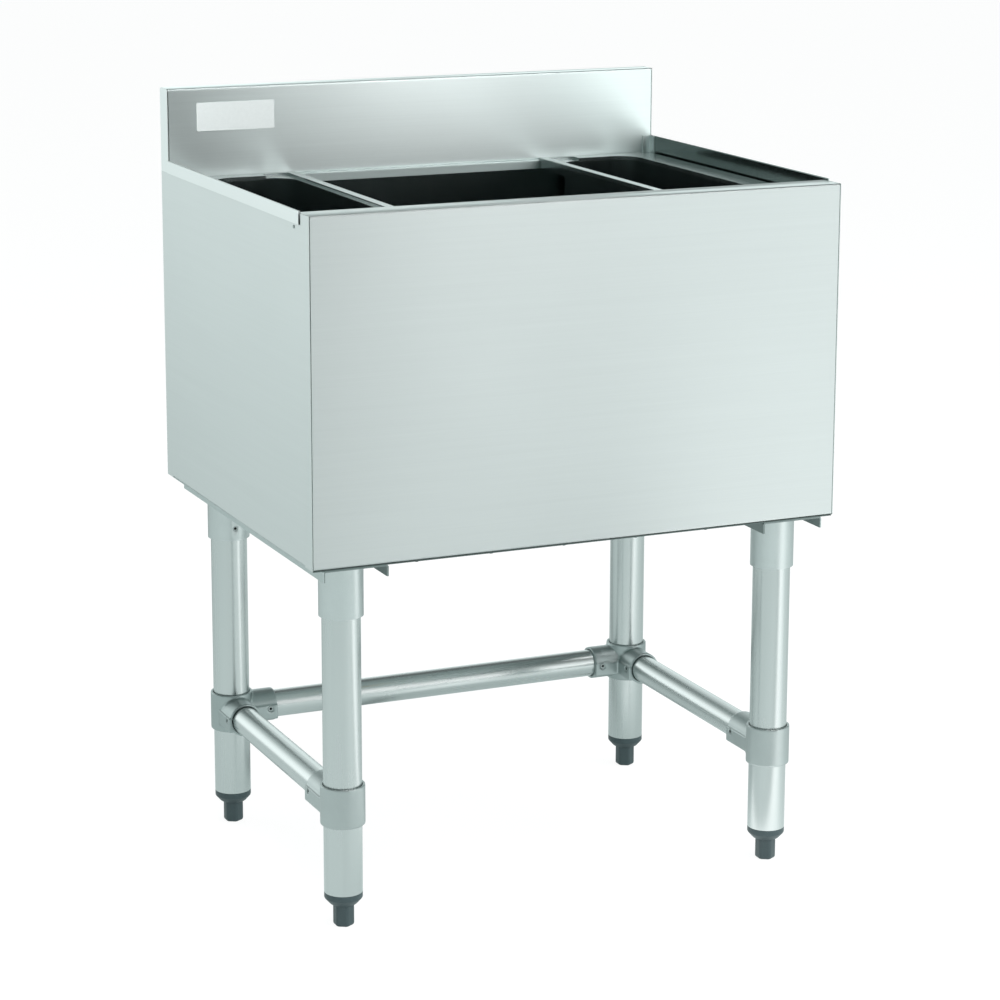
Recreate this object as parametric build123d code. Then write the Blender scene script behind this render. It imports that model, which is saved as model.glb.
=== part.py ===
from build123d import *
import math
import os

# Underbar ice bin: an insulated stainless steel ice chest on a tube leg frame, with a low backsplash
# and two lift-out bottle wells. Millimetres, +Z up, +X to the viewer's right, +Y to the back.
# The origin is on the floor, under the centre of the body.

# Overall sizes
BODY_WIDTH = 609.6
BODY_DEPTH = 473.1
OVERALL_HEIGHT = 850.9
SPLASH_RISE = 82.5
SIDE_RIM_RISE = 2.4
DECK_DROP = 18.4
BODY_HEIGHT = 364.0

# Shell sheet metal
SHEET = 1.2
BEND_RADIUS = 1.2
SEAM = 0.3
BOTTOM_FLANGE = 20.0
FRONT_RIM_DEPTH = 36.0
SPLASH_DEPTH = 25.4
HEM_HEIGHT = 14.0
HEM_START = 26.0
HEM_RELIEF = 2.0
HEM_CREST_SHARE = 0.9
TAB_WIDTH = 11.0

# Ice liner and insulation
LINER_SHEET = 1.0
LINER_FLOOR_GAP = 33.6
LINER_SIDE_INSET = 26.8
LINER_CORNER = 16.0
LINER_COVE = 12.0
LINER_LEDGE = 15.6
FOAM_CLEARANCE = 0.2

# Ledges that carry the bottle wells
LEDGE_LIP = 11.0
FRONT_LEDGE_REACH = 10.5
REAR_LEDGE_REACH = 6.15
FRONT_LEDGE_OVERHANG = 17.3
LEDGE_LAP = 12.0
LIP_END_GAP = 17.2

# Bottle wells
WELL_FLANGE_WIDTH = 143.5
WELL_SIDE_CLEARANCE = 5.4
WELL_END_CLEARANCE = 0.6
WELL_OUTER_BORDER = 32.5
WELL_INNER_BORDER = 14.5
WELL_FRONT_BORDER = 22.0
WELL_REAR_BORDER = 22.4
WELL_DEPTH = 203.0
WELL_SHEET = 1.0
WELL_CORNER = 28.0
WELL_COVE = 18.0
WELL_STRIP = 10.0
WELL_STEP = 3.0
WELL_HEM = 12.0
WELL_HEM_CLEARANCE = 1.0
DRIP_HOLE_DIAMETER = 8.0
DRIP_HOLE_PITCH = 45.0
DRIP_HOLE_ROWS = 7
DRIP_HOLE_COLUMNS = 2

# Drain
DRAIN_THREAD_DIAMETER = 38.0
DRAIN_THREAD_RUN_OUT = 3.0
DRAIN_SPIGOT_DIAMETER = 33.4
DRAIN_SPIGOT_LENGTH = 38.0
DRAIN_WALL = 3.4
DRAIN_FLANGE_DIAMETER = 76.0
DRAIN_FLANGE_THICKNESS = 4.0
DRAIN_FLANGE_ROUNDING = 1.0
DRAIN_RIM_WIDTH = 7.5
DRAIN_SEAT_WIDTH = 3.5
DRAIN_DISH_DEPTH = 1.2
DRAIN_GASKET_THICKNESS = 1.5
DRAIN_CLEARANCE = 0.4
DRAIN_WASHER_DIAMETER = 62.0
DRAIN_WASHER_THICKNESS = 1.5
DRAIN_NUT_WIDTH = 54.0
DRAIN_NUT_HEIGHT = 9.0
STRAINER_THICKNESS = 1.2
STRAINER_RECESS = 2.0
STRAINER_CLEARANCE = 0.5
STRAINER_HOLE = 5.0
STRAINER_RINGS = 3
STRAINER_RING_PITCH = 8.0
STRAINER_HOLES_PER_RING = 6

# Leg frame
LEG_SIDE_INSET = 49.9
LEG_FRONT_INSET = 46.2
LEG_BACK_INSET = 71.0
LEG_DIAMETER = 41.3
LEG_WALL = 1.6
CHANNEL_WIDTH = 72.0
CHANNEL_HEIGHT = 12.8
CHANNEL_SHEET = 2.0
CHANNEL_FRONT_INSET = 2.0
CHANNEL_BACK_INSET = 20.0
SOCKET_WALL = 2.75
SOCKET_CLEARANCE = 0.35
SOCKET_DEPTH = 56.2
SOCKET_PLATE = 62.0
SOCKET_PLATE_THICKNESS = 3.0
SOCKET_PLATE_CORNER = 6.0
SOCKET_SCREW_RISE = 14.0

# Cross rails and their fittings
RAIL_HEIGHT = 135.5
RAIL_DIAMETER = 31.8
RAIL_WALL = 1.5
RAIL_CLEARANCE = 0.3
COLLAR_WALL = 3.0
COLLAR_HEIGHT = 44.0
RAIL_SOCKET_WALL = 2.9
FRONT_RAIL_SOCKET_REACH = 60.0
BACK_RAIL_SOCKET_REACH = 50.0
RAIL_PAD_FACE = 20.5
RAIL_PAD_RISE = 4.0
RAIL_PAD_FALL = 13.0
RAIL_END_GAP = 2.0
RAIL_SCREW_INSET = 9.0

# Set screws, bolts and rivets
SET_SCREW_DIAMETER = 6.4
SET_SCREW_CLEARANCE = 0.1
SET_SCREW_RECESS = 0.6
SET_SCREW_HEX = 3.2
SET_SCREW_HEX_DEPTH = 2.0
CHANNEL_BOLT_DIAMETER = 8.0
CHANNEL_BOLT_CLEARANCE = 0.5
CHANNEL_BOLT_HEX = 13.0
CHANNEL_BOLT_HEAD = 5.3
CHANNEL_BOLT_GRIP = 12.0
CHANNEL_NUT_HEIGHT = 6.5
CHANNEL_NUT_THREAD_CLEARANCE = 0.1
CHANNEL_NUT_CLEARANCE = 1.0
CHANNEL_BOLT_COUNT = 3
CHANNEL_BOLT_PITCH = 95.0
RIVET_DIAMETER = 6.4
RIVET_HEAD = 1.6
RIVET_SHANK_DIAMETER = 3.2
RIVET_CLEARANCE = 0.1
RIVET_INSET = 5.0
RIVET_COUNT = 5
RIVET_PITCH = 84.0
RIVET_ROW_CENTRE = -19.0
HEM_RIVET_DIAMETER = 4.0
HEM_RIVET_HEAD = 0.6
HEM_RIVET_CHAMFER = 0.3
HEM_RIVET_SHANK_DIAMETER = 2.0
HEM_RIVET_SHANK_LENGTH = 0.3
HEM_RIVET_SETBACK = 16.0
HEM_RIVET_DROP = 4.0

# Adjustable feet
FOOT_PLUG_LENGTH = 34.0
FOOT_PLUG_CLEARANCE = 0.1
FOOT_RING_HEIGHT = 6.5
FOOT_TAPER_DIAMETER = 31.0
FOOT_TAPER_HEIGHT = 6.4
FOOT_HEIGHT = 25.3
FOOT_DIAMETER = 22.4
FOOT_HEX = 20.6
FOOT_STEM_DIAMETER = 15.9
FOOT_STEM_CLEARANCE = 0.1
FOOT_STEM_LENGTH = 43.0
FOOT_ROUNDING = 3.0

# Blank plate on the backsplash
PLATE_WIDTH = 92.5
PLATE_HEIGHT = 32.0
PLATE_THICKNESS = 0.5
PLATE_LEFT_INSET = 35.5
PLATE_TOP_INSET = 16.8
PLATE_CORNER = 1.0

# Planes and faces that several pieces share
FRONT_RIM_HEIGHT = OVERALL_HEIGHT - SPLASH_RISE
SIDE_RIM_HEIGHT = FRONT_RIM_HEIGHT + SIDE_RIM_RISE
DECK_HEIGHT = FRONT_RIM_HEIGHT - DECK_DROP
SHELL_BOTTOM = FRONT_RIM_HEIGHT - BODY_HEIGHT
FRONT_FACE = -BODY_DEPTH / 2
BACK_FACE = BODY_DEPTH / 2
SIDE_FACE = BODY_WIDTH / 2 - SHEET
SIDE_INNER = SIDE_FACE - SHEET
PANEL_HALF_WIDTH = SIDE_INNER - SEAM
RIM_INNER_FACE = FRONT_FACE + FRONT_RIM_DEPTH
SPLASH_FACE = BACK_FACE - SPLASH_DEPTH
FRONT_LIP = RIM_INNER_FACE + FRONT_LEDGE_REACH
REAR_LIP = SPLASH_FACE - REAR_LEDGE_REACH
LINER_HALF_WIDTH = BODY_WIDTH / 2 - LINER_SIDE_INSET
LINER_FRONT = FRONT_LIP - FRONT_LEDGE_OVERHANG
LINER_BACK = REAR_LIP + SHEET + BEND_RADIUS
LINER_TOP = DECK_HEIGHT - SHEET
LINER_FLOOR = SHELL_BOTTOM + LINER_FLOOR_GAP
BOTTOM_PANEL_UNDERSIDE = SHELL_BOTTOM - SHEET
CHANNEL_UNDERSIDE = BOTTOM_PANEL_UNDERSIDE - CHANNEL_SHEET
LEG_X = BODY_WIDTH / 2 - LEG_SIDE_INSET
LEG_FRONT_Y = FRONT_FACE + LEG_FRONT_INSET
LEG_BACK_Y = BACK_FACE - LEG_BACK_INSET
LEG_BOTTOM = FOOT_HEIGHT + FOOT_TAPER_HEIGHT + FOOT_RING_HEIGHT
LEG_BORE = LEG_DIAMETER - 2 * LEG_WALL
SOCKET_BORE = LEG_DIAMETER + 2 * SOCKET_CLEARANCE
SOCKET_CEILING = CHANNEL_UNDERSIDE - SOCKET_PLATE_THICKNESS
SOCKET_BOTTOM = SOCKET_CEILING - SOCKET_DEPTH
COLLAR_DIAMETER = SOCKET_BORE + 2 * COLLAR_WALL
RAIL_BORE = RAIL_DIAMETER + 2 * RAIL_CLEARANCE
RAIL_SOCKET_DIAMETER = RAIL_BORE + 2 * RAIL_SOCKET_WALL
RAIL_START = COLLAR_DIAMETER / 2 + RAIL_END_GAP
DRAIN_TOP = LINER_FLOOR + DRAIN_GASKET_THICKNESS + DRAIN_FLANGE_THICKNESS
STRAINER_RECESS_DIAMETER = DRAIN_FLANGE_DIAMETER - 2 * DRAIN_RIM_WIDTH
STRAINER_DIAMETER = STRAINER_RECESS_DIAMETER - 2 * STRAINER_CLEARANCE
OVERSHOOT = 1.0

LEGS = {
    "front_left": (-1, LEG_FRONT_Y, 1),
    "front_right": (1, LEG_FRONT_Y, 1),
    "back_left": (-1, LEG_BACK_Y, -1),
    "back_right": (1, LEG_BACK_Y, -1),
}

BASE = (Align.CENTER, Align.CENTER, Align.MIN)
pieces = {}


def box_between(low, high):
    """A box from its lowest corner to its highest corner."""
    size = [b - a for a, b in zip(low, high)]
    return Pos(*low) * Box(*size, align=(Align.MIN, Align.MIN, Align.MIN))


def rod(start, direction, length, diameter):
    """A cylinder that starts at a point and runs along a direction."""
    return Plane(origin=start, z_dir=direction) * Cylinder(diameter / 2, length, align=BASE)


def upright(x, y, bottom, top, diameter):
    """A vertical cylinder between two heights."""
    return rod((x, y, bottom), (0, 0, 1), top - bottom, diameter)


def hexagon(across_flats, height):
    """A hexagonal prism that stands on its base."""
    return extrude(RegularPolygon(across_flats / 2, 6, major_radius=False), height)


def left_offset(points, distance):
    """The corners of a path moved to its left, for right-angled and slanted runs alike."""
    runs = []
    for (ax, ay), (bx, by) in zip(points, points[1:]):
        length = math.hypot(bx - ax, by - ay)
        shift_x = -(by - ay) / length * distance
        shift_y = (bx - ax) / length * distance
        runs.append(((ax + shift_x, ay + shift_y), (bx + shift_x, by + shift_y)))
    corners = [runs[0][0]]
    for (a, b), (c, d) in zip(runs, runs[1:]):
        across = (b[0] - a[0]) * (d[1] - c[1]) - (b[1] - a[1]) * (d[0] - c[0])
        along = ((c[0] - a[0]) * (d[1] - c[1]) - (c[1] - a[1]) * (d[0] - c[0])) / across
        corners.append((a[0] + along * (b[0] - a[0]), a[1] + along * (b[1] - a[1])))
    corners.append(runs[-1][1])
    return corners


def bent_section(points, thickness):
    """The section of a sheet bent along a path, with the sheet on the path's left."""
    far_points = left_offset(points, thickness)
    near_radii = []
    far_radii = []
    for (ax, ay), (bx, by), (cx, cy) in zip(points, points[1:], points[2:]):
        left_turn = (bx - ax) * (cy - by) - (by - ay) * (cx - bx) > 0
        near_radii.append(BEND_RADIUS + thickness if left_turn else BEND_RADIUS)
        far_radii.append(BEND_RADIUS if left_turn else BEND_RADIUS + thickness)
    near = FilletPolyline(*points, radius=near_radii)
    far = FilletPolyline(*far_points, radius=far_radii)
    ends = Line(points[0], far_points[0]) + Line(points[-1], far_points[-1])
    return make_face((near + far + ends).edges())


def fold_across(points, thickness, half_width):
    """A bent sheet whose section is drawn in Y and Z, and which runs along X."""
    return extrude(Plane.YZ * bent_section(points, thickness), half_width, both=True)


def fold_back(points, thickness, front, back):
    """A bent sheet whose section is drawn in X and Z, and which runs along Y."""
    section = Plane((0, front, 0), x_dir=(1, 0, 0), z_dir=(0, -1, 0)) * bent_section(points, thickness)
    return extrude(section, -(back - front))


# Front panel: one sheet with a return flange at the bottom and the boxed front rim at the top
front_path = [
    (RIM_INNER_FACE, DECK_HEIGHT),
    (RIM_INNER_FACE, FRONT_RIM_HEIGHT),
    (FRONT_FACE, FRONT_RIM_HEIGHT),
    (FRONT_FACE, SHELL_BOTTOM),
    (FRONT_FACE + BOTTOM_FLANGE, SHELL_BOTTOM),
]
rivet_xs = [RIVET_ROW_CENTRE + (i - (RIVET_COUNT - 1) / 2) * RIVET_PITCH for i in range(RIVET_COUNT)]
rivet_y = FRONT_FACE + RIVET_INSET
rivet_hole_diameter = RIVET_SHANK_DIAMETER + 2 * RIVET_CLEARANCE
rivet_hole_bottom = BOTTOM_PANEL_UNDERSIDE - OVERSHOOT
rivet_hole_top = SHELL_BOTTOM + SHEET + OVERSHOOT
rivet_holes = Part() + [
    upright(x, rivet_y, rivet_hole_bottom, rivet_hole_top, rivet_hole_diameter) for x in rivet_xs
]
pieces["front_panel"] = fold_across(front_path, SHEET, PANEL_HALF_WIDTH) - rivet_holes

# Back panel: a sheet between the side panels, with the same return flange
back_path = [
    (BACK_FACE - BOTTOM_FLANGE, SHELL_BOTTOM),
    (BACK_FACE, SHELL_BOTTOM),
    (BACK_FACE, SIDE_RIM_HEIGHT),
]
pieces["back_panel"] = fold_across(back_path, SHEET, PANEL_HALF_WIDTH)

# Backsplash: face, top and rear flange folded from one sheet
splash_path = [
    (BACK_FACE, SIDE_RIM_HEIGHT),
    (BACK_FACE, OVERALL_HEIGHT),
    (SPLASH_FACE, OVERALL_HEIGHT),
    (SPLASH_FACE, DECK_HEIGHT),
]
pieces["backsplash"] = fold_across(splash_path, SHEET, PANEL_HALF_WIDTH)


def side_panel(side):
    """A side sheet with an inward bottom flange and an outward hem along its raised top edge."""
    flange_front = FRONT_FACE + BOTTOM_FLANGE + SEAM
    flange_back = BACK_FACE - BOTTOM_FLANGE - SEAM
    path = [
        (SIDE_FACE - BOTTOM_FLANGE, SHELL_BOTTOM),
        (SIDE_FACE, SHELL_BOTTOM),
        (SIDE_FACE, FRONT_RIM_HEIGHT),
    ]
    panel = fold_back(path, SHEET, flange_front, flange_back)
    panel += box_between((SIDE_INNER, FRONT_FACE, SHELL_BOTTOM), (SIDE_FACE, flange_front, FRONT_RIM_HEIGHT))
    panel += box_between((SIDE_INNER, flange_back, SHELL_BOTTOM), (SIDE_FACE, BACK_FACE, FRONT_RIM_HEIGHT))
    hem_front = FRONT_FACE + HEM_START
    hem_low = SIDE_RIM_HEIGHT - HEM_HEIGHT
    rim = box_between((SIDE_INNER, hem_front, hem_low), (SIDE_FACE, SPLASH_FACE, SIDE_RIM_HEIGHT))
    rim += box_between((SIDE_FACE, hem_front, hem_low), (SIDE_FACE + SHEET, SPLASH_FACE, SIDE_RIM_HEIGHT))
    crest = rim.edges().filter_by(Axis.Y).group_by(Axis.Z)[-1]
    panel += fillet(crest, SHEET * HEM_CREST_SHARE)
    panel += box_between((SIDE_INNER, SPLASH_FACE, hem_low), (SIDE_FACE, BACK_FACE, SIDE_RIM_HEIGHT))
    panel -= box_between(
        (SIDE_INNER - OVERSHOOT, hem_front - HEM_RELIEF, hem_low),
        (SIDE_FACE + OVERSHOOT, hem_front, SIDE_RIM_HEIGHT + OVERSHOOT),
    )
    return panel if side > 0 else mirror(panel, Plane.YZ)


def end_cap(side):
    """The plate that closes one end of the backsplash."""
    cap = box_between((SIDE_INNER, SPLASH_FACE, SIDE_RIM_HEIGHT), (SIDE_FACE, BACK_FACE, OVERALL_HEIGHT))
    top_corners = cap.edges().filter_by(Axis.X).group_by(Axis.Z)[-1]
    cap = fillet(top_corners, BEND_RADIUS + SHEET)
    return cap if side > 0 else mirror(cap, Plane.YZ)


def corner_tab(side):
    """A small angle that ties a side rim to the face of the backsplash."""
    path = [
        (SIDE_INNER - TAB_WIDTH, SPLASH_FACE - SHEET),
        (SIDE_INNER - SHEET, SPLASH_FACE - SHEET),
        (SIDE_INNER - SHEET, SPLASH_FACE - TAB_WIDTH),
    ]
    height = SIDE_RIM_HEIGHT - DECK_HEIGHT - 2 * SEAM
    tab = Pos(0, 0, DECK_HEIGHT + SEAM) * extrude(bent_section(path, SHEET), height)
    return tab if side > 0 else mirror(tab, Plane.YZ)


for side, hand in ((-1, "left"), (1, "right")):
    pieces[f"{hand}_side_panel"] = side_panel(side)
    pieces[f"{hand}_end_cap"] = end_cap(side)
    pieces[f"{hand}_corner_tab"] = corner_tab(side)

# Ledges: folded strips that finish the deck at the front and back, and carry the bottle wells
lip_half_width = LINER_HALF_WIDTH - LIP_END_GAP


def ledge(path, inner_y, outer_y):
    """A folded strip with a lip along its middle and plain ends that clear the liner's corners."""
    strip = fold_across(path, SHEET, lip_half_width)
    for side in (-1, 1):
        near, far = sorted((side * lip_half_width, side * PANEL_HALF_WIDTH))
        strip += box_between((near, inner_y, LINER_TOP), (far, outer_y, DECK_HEIGHT))
    return strip


front_lap = RIM_INNER_FACE - LEDGE_LAP
front_ledge_path = [
    (FRONT_LIP, DECK_HEIGHT - LEDGE_LIP),
    (FRONT_LIP, DECK_HEIGHT),
    (front_lap, DECK_HEIGHT),
]
pieces["front_ledge"] = ledge(front_ledge_path, front_lap, FRONT_LIP)
rear_lap = SPLASH_FACE + LEDGE_LAP
rear_ledge_path = [
    (rear_lap, DECK_HEIGHT),
    (REAR_LIP, DECK_HEIGHT),
    (REAR_LIP, DECK_HEIGHT - LEDGE_LIP),
]
pieces["rear_ledge"] = ledge(rear_ledge_path, REAR_LIP, rear_lap)


def coved_block(half_x, front, back, bottom, top, corner, cove):
    """A block with rounded upright corners and a rounded foot, used for tubs and their hollows."""
    centre = Pos(0, (front + back) / 2, bottom)
    block = centre * extrude(RectangleRounded(2 * half_x, back - front, corner), top - bottom)
    return fillet(block.faces().sort_by(Axis.Z)[0].edges(), cove)


# Ice liner: an open tub with coved corners and a flange that lies under the deck
liner_hollow = coved_block(
    LINER_HALF_WIDTH, LINER_FRONT, LINER_BACK, LINER_FLOOR, LINER_TOP + OVERSHOOT, LINER_CORNER, LINER_COVE
)
liner_block = coved_block(
    LINER_HALF_WIDTH + LINER_SHEET,
    LINER_FRONT - LINER_SHEET,
    LINER_BACK + LINER_SHEET,
    LINER_FLOOR - LINER_SHEET,
    LINER_TOP,
    LINER_CORNER + LINER_SHEET,
    LINER_COVE + LINER_SHEET,
)
liner_flange = box_between(
    (-PANEL_HALF_WIDTH, LINER_FRONT - LINER_LEDGE, LINER_TOP - LINER_SHEET),
    (PANEL_HALF_WIDTH, LINER_BACK + LINER_LEDGE, LINER_TOP),
)
drain_hole_diameter = DRAIN_THREAD_DIAMETER + 2 * DRAIN_CLEARANCE
drain_hole = upright(0, 0, BOTTOM_PANEL_UNDERSIDE - OVERSHOOT, LINER_FLOOR + OVERSHOOT, drain_hole_diameter)
pieces["ice_liner"] = liner_block + liner_flange - liner_hollow - drain_hole

# Bottom panel: a flat sheet under the return flanges
bottom_low = (-PANEL_HALF_WIDTH, FRONT_FACE + SEAM, BOTTOM_PANEL_UNDERSIDE)
bottom_high = (PANEL_HALF_WIDTH, BACK_FACE - SEAM, SHELL_BOTTOM)
bolt_ys = [(i - (CHANNEL_BOLT_COUNT - 1) / 2) * CHANNEL_BOLT_PITCH for i in range(CHANNEL_BOLT_COUNT)]
bolt_places = [
    (side * LEG_X, (LEG_FRONT_Y + LEG_BACK_Y) / 2 + y)
    for side in (-1, 1)
    for y in bolt_ys
]
bolt_top = SHELL_BOTTOM + CHANNEL_BOLT_GRIP
bolt_hole_diameter = CHANNEL_BOLT_DIAMETER + 2 * CHANNEL_BOLT_CLEARANCE
bolt_holes = Part() + [
    upright(x, y, CHANNEL_UNDERSIDE - OVERSHOOT, SHELL_BOTTOM + OVERSHOOT, bolt_hole_diameter)
    for x, y in bolt_places
]
nut_width = CHANNEL_BOLT_HEX / math.cos(math.pi / 6) + 2 * CHANNEL_NUT_CLEARANCE
nut_pockets = Part() + [
    upright(x, y, SHELL_BOTTOM, bolt_top + CHANNEL_NUT_CLEARANCE, nut_width) for x, y in bolt_places
]
pieces["bottom_panel"] = box_between(bottom_low, bottom_high) - drain_hole - bolt_holes - rivet_holes

# Insulation: foam that fills the space between the shell and the liner
foam_x = SIDE_INNER - FOAM_CLEARANCE
foam_y = BACK_FACE - SHEET - FOAM_CLEARANCE
flange_edge_x = SIDE_FACE - BOTTOM_FLANGE - FOAM_CLEARANCE
flange_edge_y = BACK_FACE - BOTTOM_FLANGE - FOAM_CLEARANCE
foam = box_between((-foam_x, -foam_y, SHELL_BOTTOM + SHEET), (foam_x, foam_y, LINER_TOP - LINER_SHEET))
foam = chamfer(foam.faces().sort_by(Axis.Z)[0].edges(), BEND_RADIUS)
foam += box_between(
    (-flange_edge_x, -flange_edge_y, SHELL_BOTTOM), (flange_edge_x, flange_edge_y, SHELL_BOTTOM + SHEET)
)
pieces["insulation"] = foam - liner_block - drain_hole - nut_pockets

# Bottle wells: drop-in tubs whose flanges rest on the two ledges. Beside the ice opening the flange is
# a narrow raised strip, and steps down to a shelf around that side of the tub.
well_outer = SIDE_INNER - WELL_SIDE_CLEARANCE
well_inner = well_outer - WELL_FLANGE_WIDTH
well_front = RIM_INNER_FACE + WELL_END_CLEARANCE
well_back = SPLASH_FACE - SHEET - WELL_END_CLEARANCE
well_top = DECK_HEIGHT + SHEET
tub_floor = well_top - WELL_DEPTH
tub_x = (well_inner + WELL_INNER_BORDER + well_outer - WELL_OUTER_BORDER) / 2
tub_half_width = (WELL_FLANGE_WIDTH - WELL_INNER_BORDER - WELL_OUTER_BORDER) / 2
tub_front = well_front + WELL_FRONT_BORDER
tub_back = well_back - WELL_REAR_BORDER
shelf_inner = well_inner + WELL_STRIP
shelf_outer = well_inner + WELL_INNER_BORDER + WELL_CORNER
shelf_front = FRONT_LIP + WELL_HEM_CLEARANCE + SHEET
shelf_back = REAR_LIP - WELL_HEM_CLEARANCE - SHEET
shelf_top = well_top - WELL_STEP


def bottle_well(side):
    """A flanged tub with drip holes in its floor, and a raised strip and hem beside the ice opening."""
    hollow = Pos(tub_x, 0, 0) * coved_block(
        tub_half_width, tub_front, tub_back, tub_floor, well_top + OVERSHOOT, WELL_CORNER, WELL_COVE
    )
    tub = Pos(tub_x, 0, 0) * coved_block(
        tub_half_width + WELL_SHEET,
        tub_front - WELL_SHEET,
        tub_back + WELL_SHEET,
        tub_floor - WELL_SHEET,
        well_top,
        WELL_CORNER + WELL_SHEET,
        WELL_COVE + WELL_SHEET,
    )
    flange = box_between((well_inner, well_front, DECK_HEIGHT), (well_outer, well_back, well_top))
    flange += box_between(
        (shelf_inner - SHEET, shelf_front - SHEET, shelf_top - SHEET),
        (shelf_outer + SHEET, shelf_back + SHEET, well_top),
    )
    recess = box_between(
        (shelf_inner, shelf_front, shelf_top), (shelf_outer, shelf_back, well_top + OVERSHOOT)
    )
    hem = box_between(
        (well_inner, FRONT_LIP + WELL_HEM_CLEARANCE, DECK_HEIGHT - WELL_HEM),
        (well_inner + SHEET, REAR_LIP - WELL_HEM_CLEARANCE, well_top),
    )
    drip_low = tub_floor - WELL_SHEET - OVERSHOOT
    drips = Part()
    for row in range(DRIP_HOLE_ROWS):
        for column in range(DRIP_HOLE_COLUMNS):
            x = tub_x + (column - (DRIP_HOLE_COLUMNS - 1) / 2) * DRIP_HOLE_PITCH
            y = (tub_front + tub_back) / 2 + (row - (DRIP_HOLE_ROWS - 1) / 2) * DRIP_HOLE_PITCH
            drips += upright(x, y, drip_low, tub_floor + OVERSHOOT, DRIP_HOLE_DIAMETER)
    well = tub + flange + hem - recess - hollow - drips
    return well if side > 0 else mirror(well, Plane.YZ)


pieces["left_bottle_well"] = bottle_well(-1)
pieces["right_bottle_well"] = bottle_well(1)

# Drain: a dished flange on a threaded tailpiece, a gasket, a washer, a locknut and a lift-out strainer
gasket_top = LINER_FLOOR + DRAIN_GASKET_THICKNESS
strainer_seat = DRAIN_TOP - STRAINER_RECESS
washer_bottom = BOTTOM_PANEL_UNDERSIDE - DRAIN_WASHER_THICKNESS
nut_bottom = washer_bottom - DRAIN_NUT_HEIGHT
thread_bottom = nut_bottom - DRAIN_THREAD_RUN_OUT
drain_bottom = thread_bottom - DRAIN_SPIGOT_LENGTH
drain = upright(0, 0, gasket_top, DRAIN_TOP, DRAIN_FLANGE_DIAMETER)
drain = fillet(drain.edges().group_by(Axis.Z)[-1], DRAIN_FLANGE_ROUNDING)
drain += upright(0, 0, thread_bottom, gasket_top, DRAIN_THREAD_DIAMETER)
drain += upright(0, 0, drain_bottom, thread_bottom, DRAIN_SPIGOT_DIAMETER)
drain -= upright(0, 0, strainer_seat, DRAIN_TOP + OVERSHOOT, STRAINER_RECESS_DIAMETER)
dish_diameter = STRAINER_RECESS_DIAMETER - 2 * DRAIN_SEAT_WIDTH
drain -= upright(0, 0, strainer_seat - DRAIN_DISH_DEPTH, DRAIN_TOP, dish_diameter)
drain -= upright(0, 0, drain_bottom - OVERSHOOT, DRAIN_TOP, DRAIN_SPIGOT_DIAMETER - 2 * DRAIN_WALL)
pieces["drain_body"] = drain
gasket = upright(0, 0, LINER_FLOOR, gasket_top, DRAIN_FLANGE_DIAMETER - 2 * DRAIN_GASKET_THICKNESS)
pieces["drain_gasket"] = gasket - Pos(0, 0, DRAIN_GASKET_THICKNESS) * drain_hole
washer = upright(0, 0, washer_bottom, BOTTOM_PANEL_UNDERSIDE, DRAIN_WASHER_DIAMETER)
through_hole = upright(0, 0, nut_bottom - OVERSHOOT, BOTTOM_PANEL_UNDERSIDE + OVERSHOOT, drain_hole_diameter)
pieces["drain_washer"] = washer - through_hole
pieces["drain_locknut"] = Pos(0, 0, nut_bottom) * hexagon(DRAIN_NUT_WIDTH, DRAIN_NUT_HEIGHT) - through_hole
strainer = upright(0, 0, strainer_seat, strainer_seat + STRAINER_THICKNESS, STRAINER_DIAMETER)
for ring in range(STRAINER_RINGS + 1):
    count = max(1, ring * STRAINER_HOLES_PER_RING)
    for i in range(count):
        angle = 2 * math.pi * i / count
        x = ring * STRAINER_RING_PITCH * math.cos(angle)
        y = ring * STRAINER_RING_PITCH * math.sin(angle)
        strainer -= upright(x, y, strainer_seat - OVERSHOOT, DRAIN_TOP, STRAINER_HOLE)
pieces["drain_strainer"] = strainer


# Leg channels: inverted channels under the bottom panel, one on each side
def leg_channel(side):
    """An inverted channel that runs from front to back over the two leg sockets."""
    half = CHANNEL_WIDTH / 2
    low = BOTTOM_PANEL_UNDERSIDE - CHANNEL_HEIGHT
    path = [
        (LEG_X + half, low),
        (LEG_X + half, BOTTOM_PANEL_UNDERSIDE),
        (LEG_X - half, BOTTOM_PANEL_UNDERSIDE),
        (LEG_X - half, low),
    ]
    front = FRONT_FACE + CHANNEL_FRONT_INSET
    back = BACK_FACE - CHANNEL_BACK_INSET
    channel = fold_back(path, CHANNEL_SHEET, front, back)
    return (channel if side > 0 else mirror(channel, Plane.YZ)) - bolt_holes


pieces["left_leg_channel"] = leg_channel(-1)
pieces["right_leg_channel"] = leg_channel(1)


def set_screw(tip, direction, length):
    """A set screw with a hexagonal recess, which starts at its tip and faces along a direction."""
    screw = Cylinder(SET_SCREW_DIAMETER / 2, length, align=BASE)
    screw -= Pos(0, 0, length - SET_SCREW_HEX_DEPTH) * hexagon(SET_SCREW_HEX, SET_SCREW_HEX_DEPTH + OVERSHOOT)
    return Plane(origin=tip, z_dir=direction) * screw


screw_bore = SET_SCREW_DIAMETER + 2 * SET_SCREW_CLEARANCE
socket_screws = Part()
rail_screws = Part()


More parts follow.
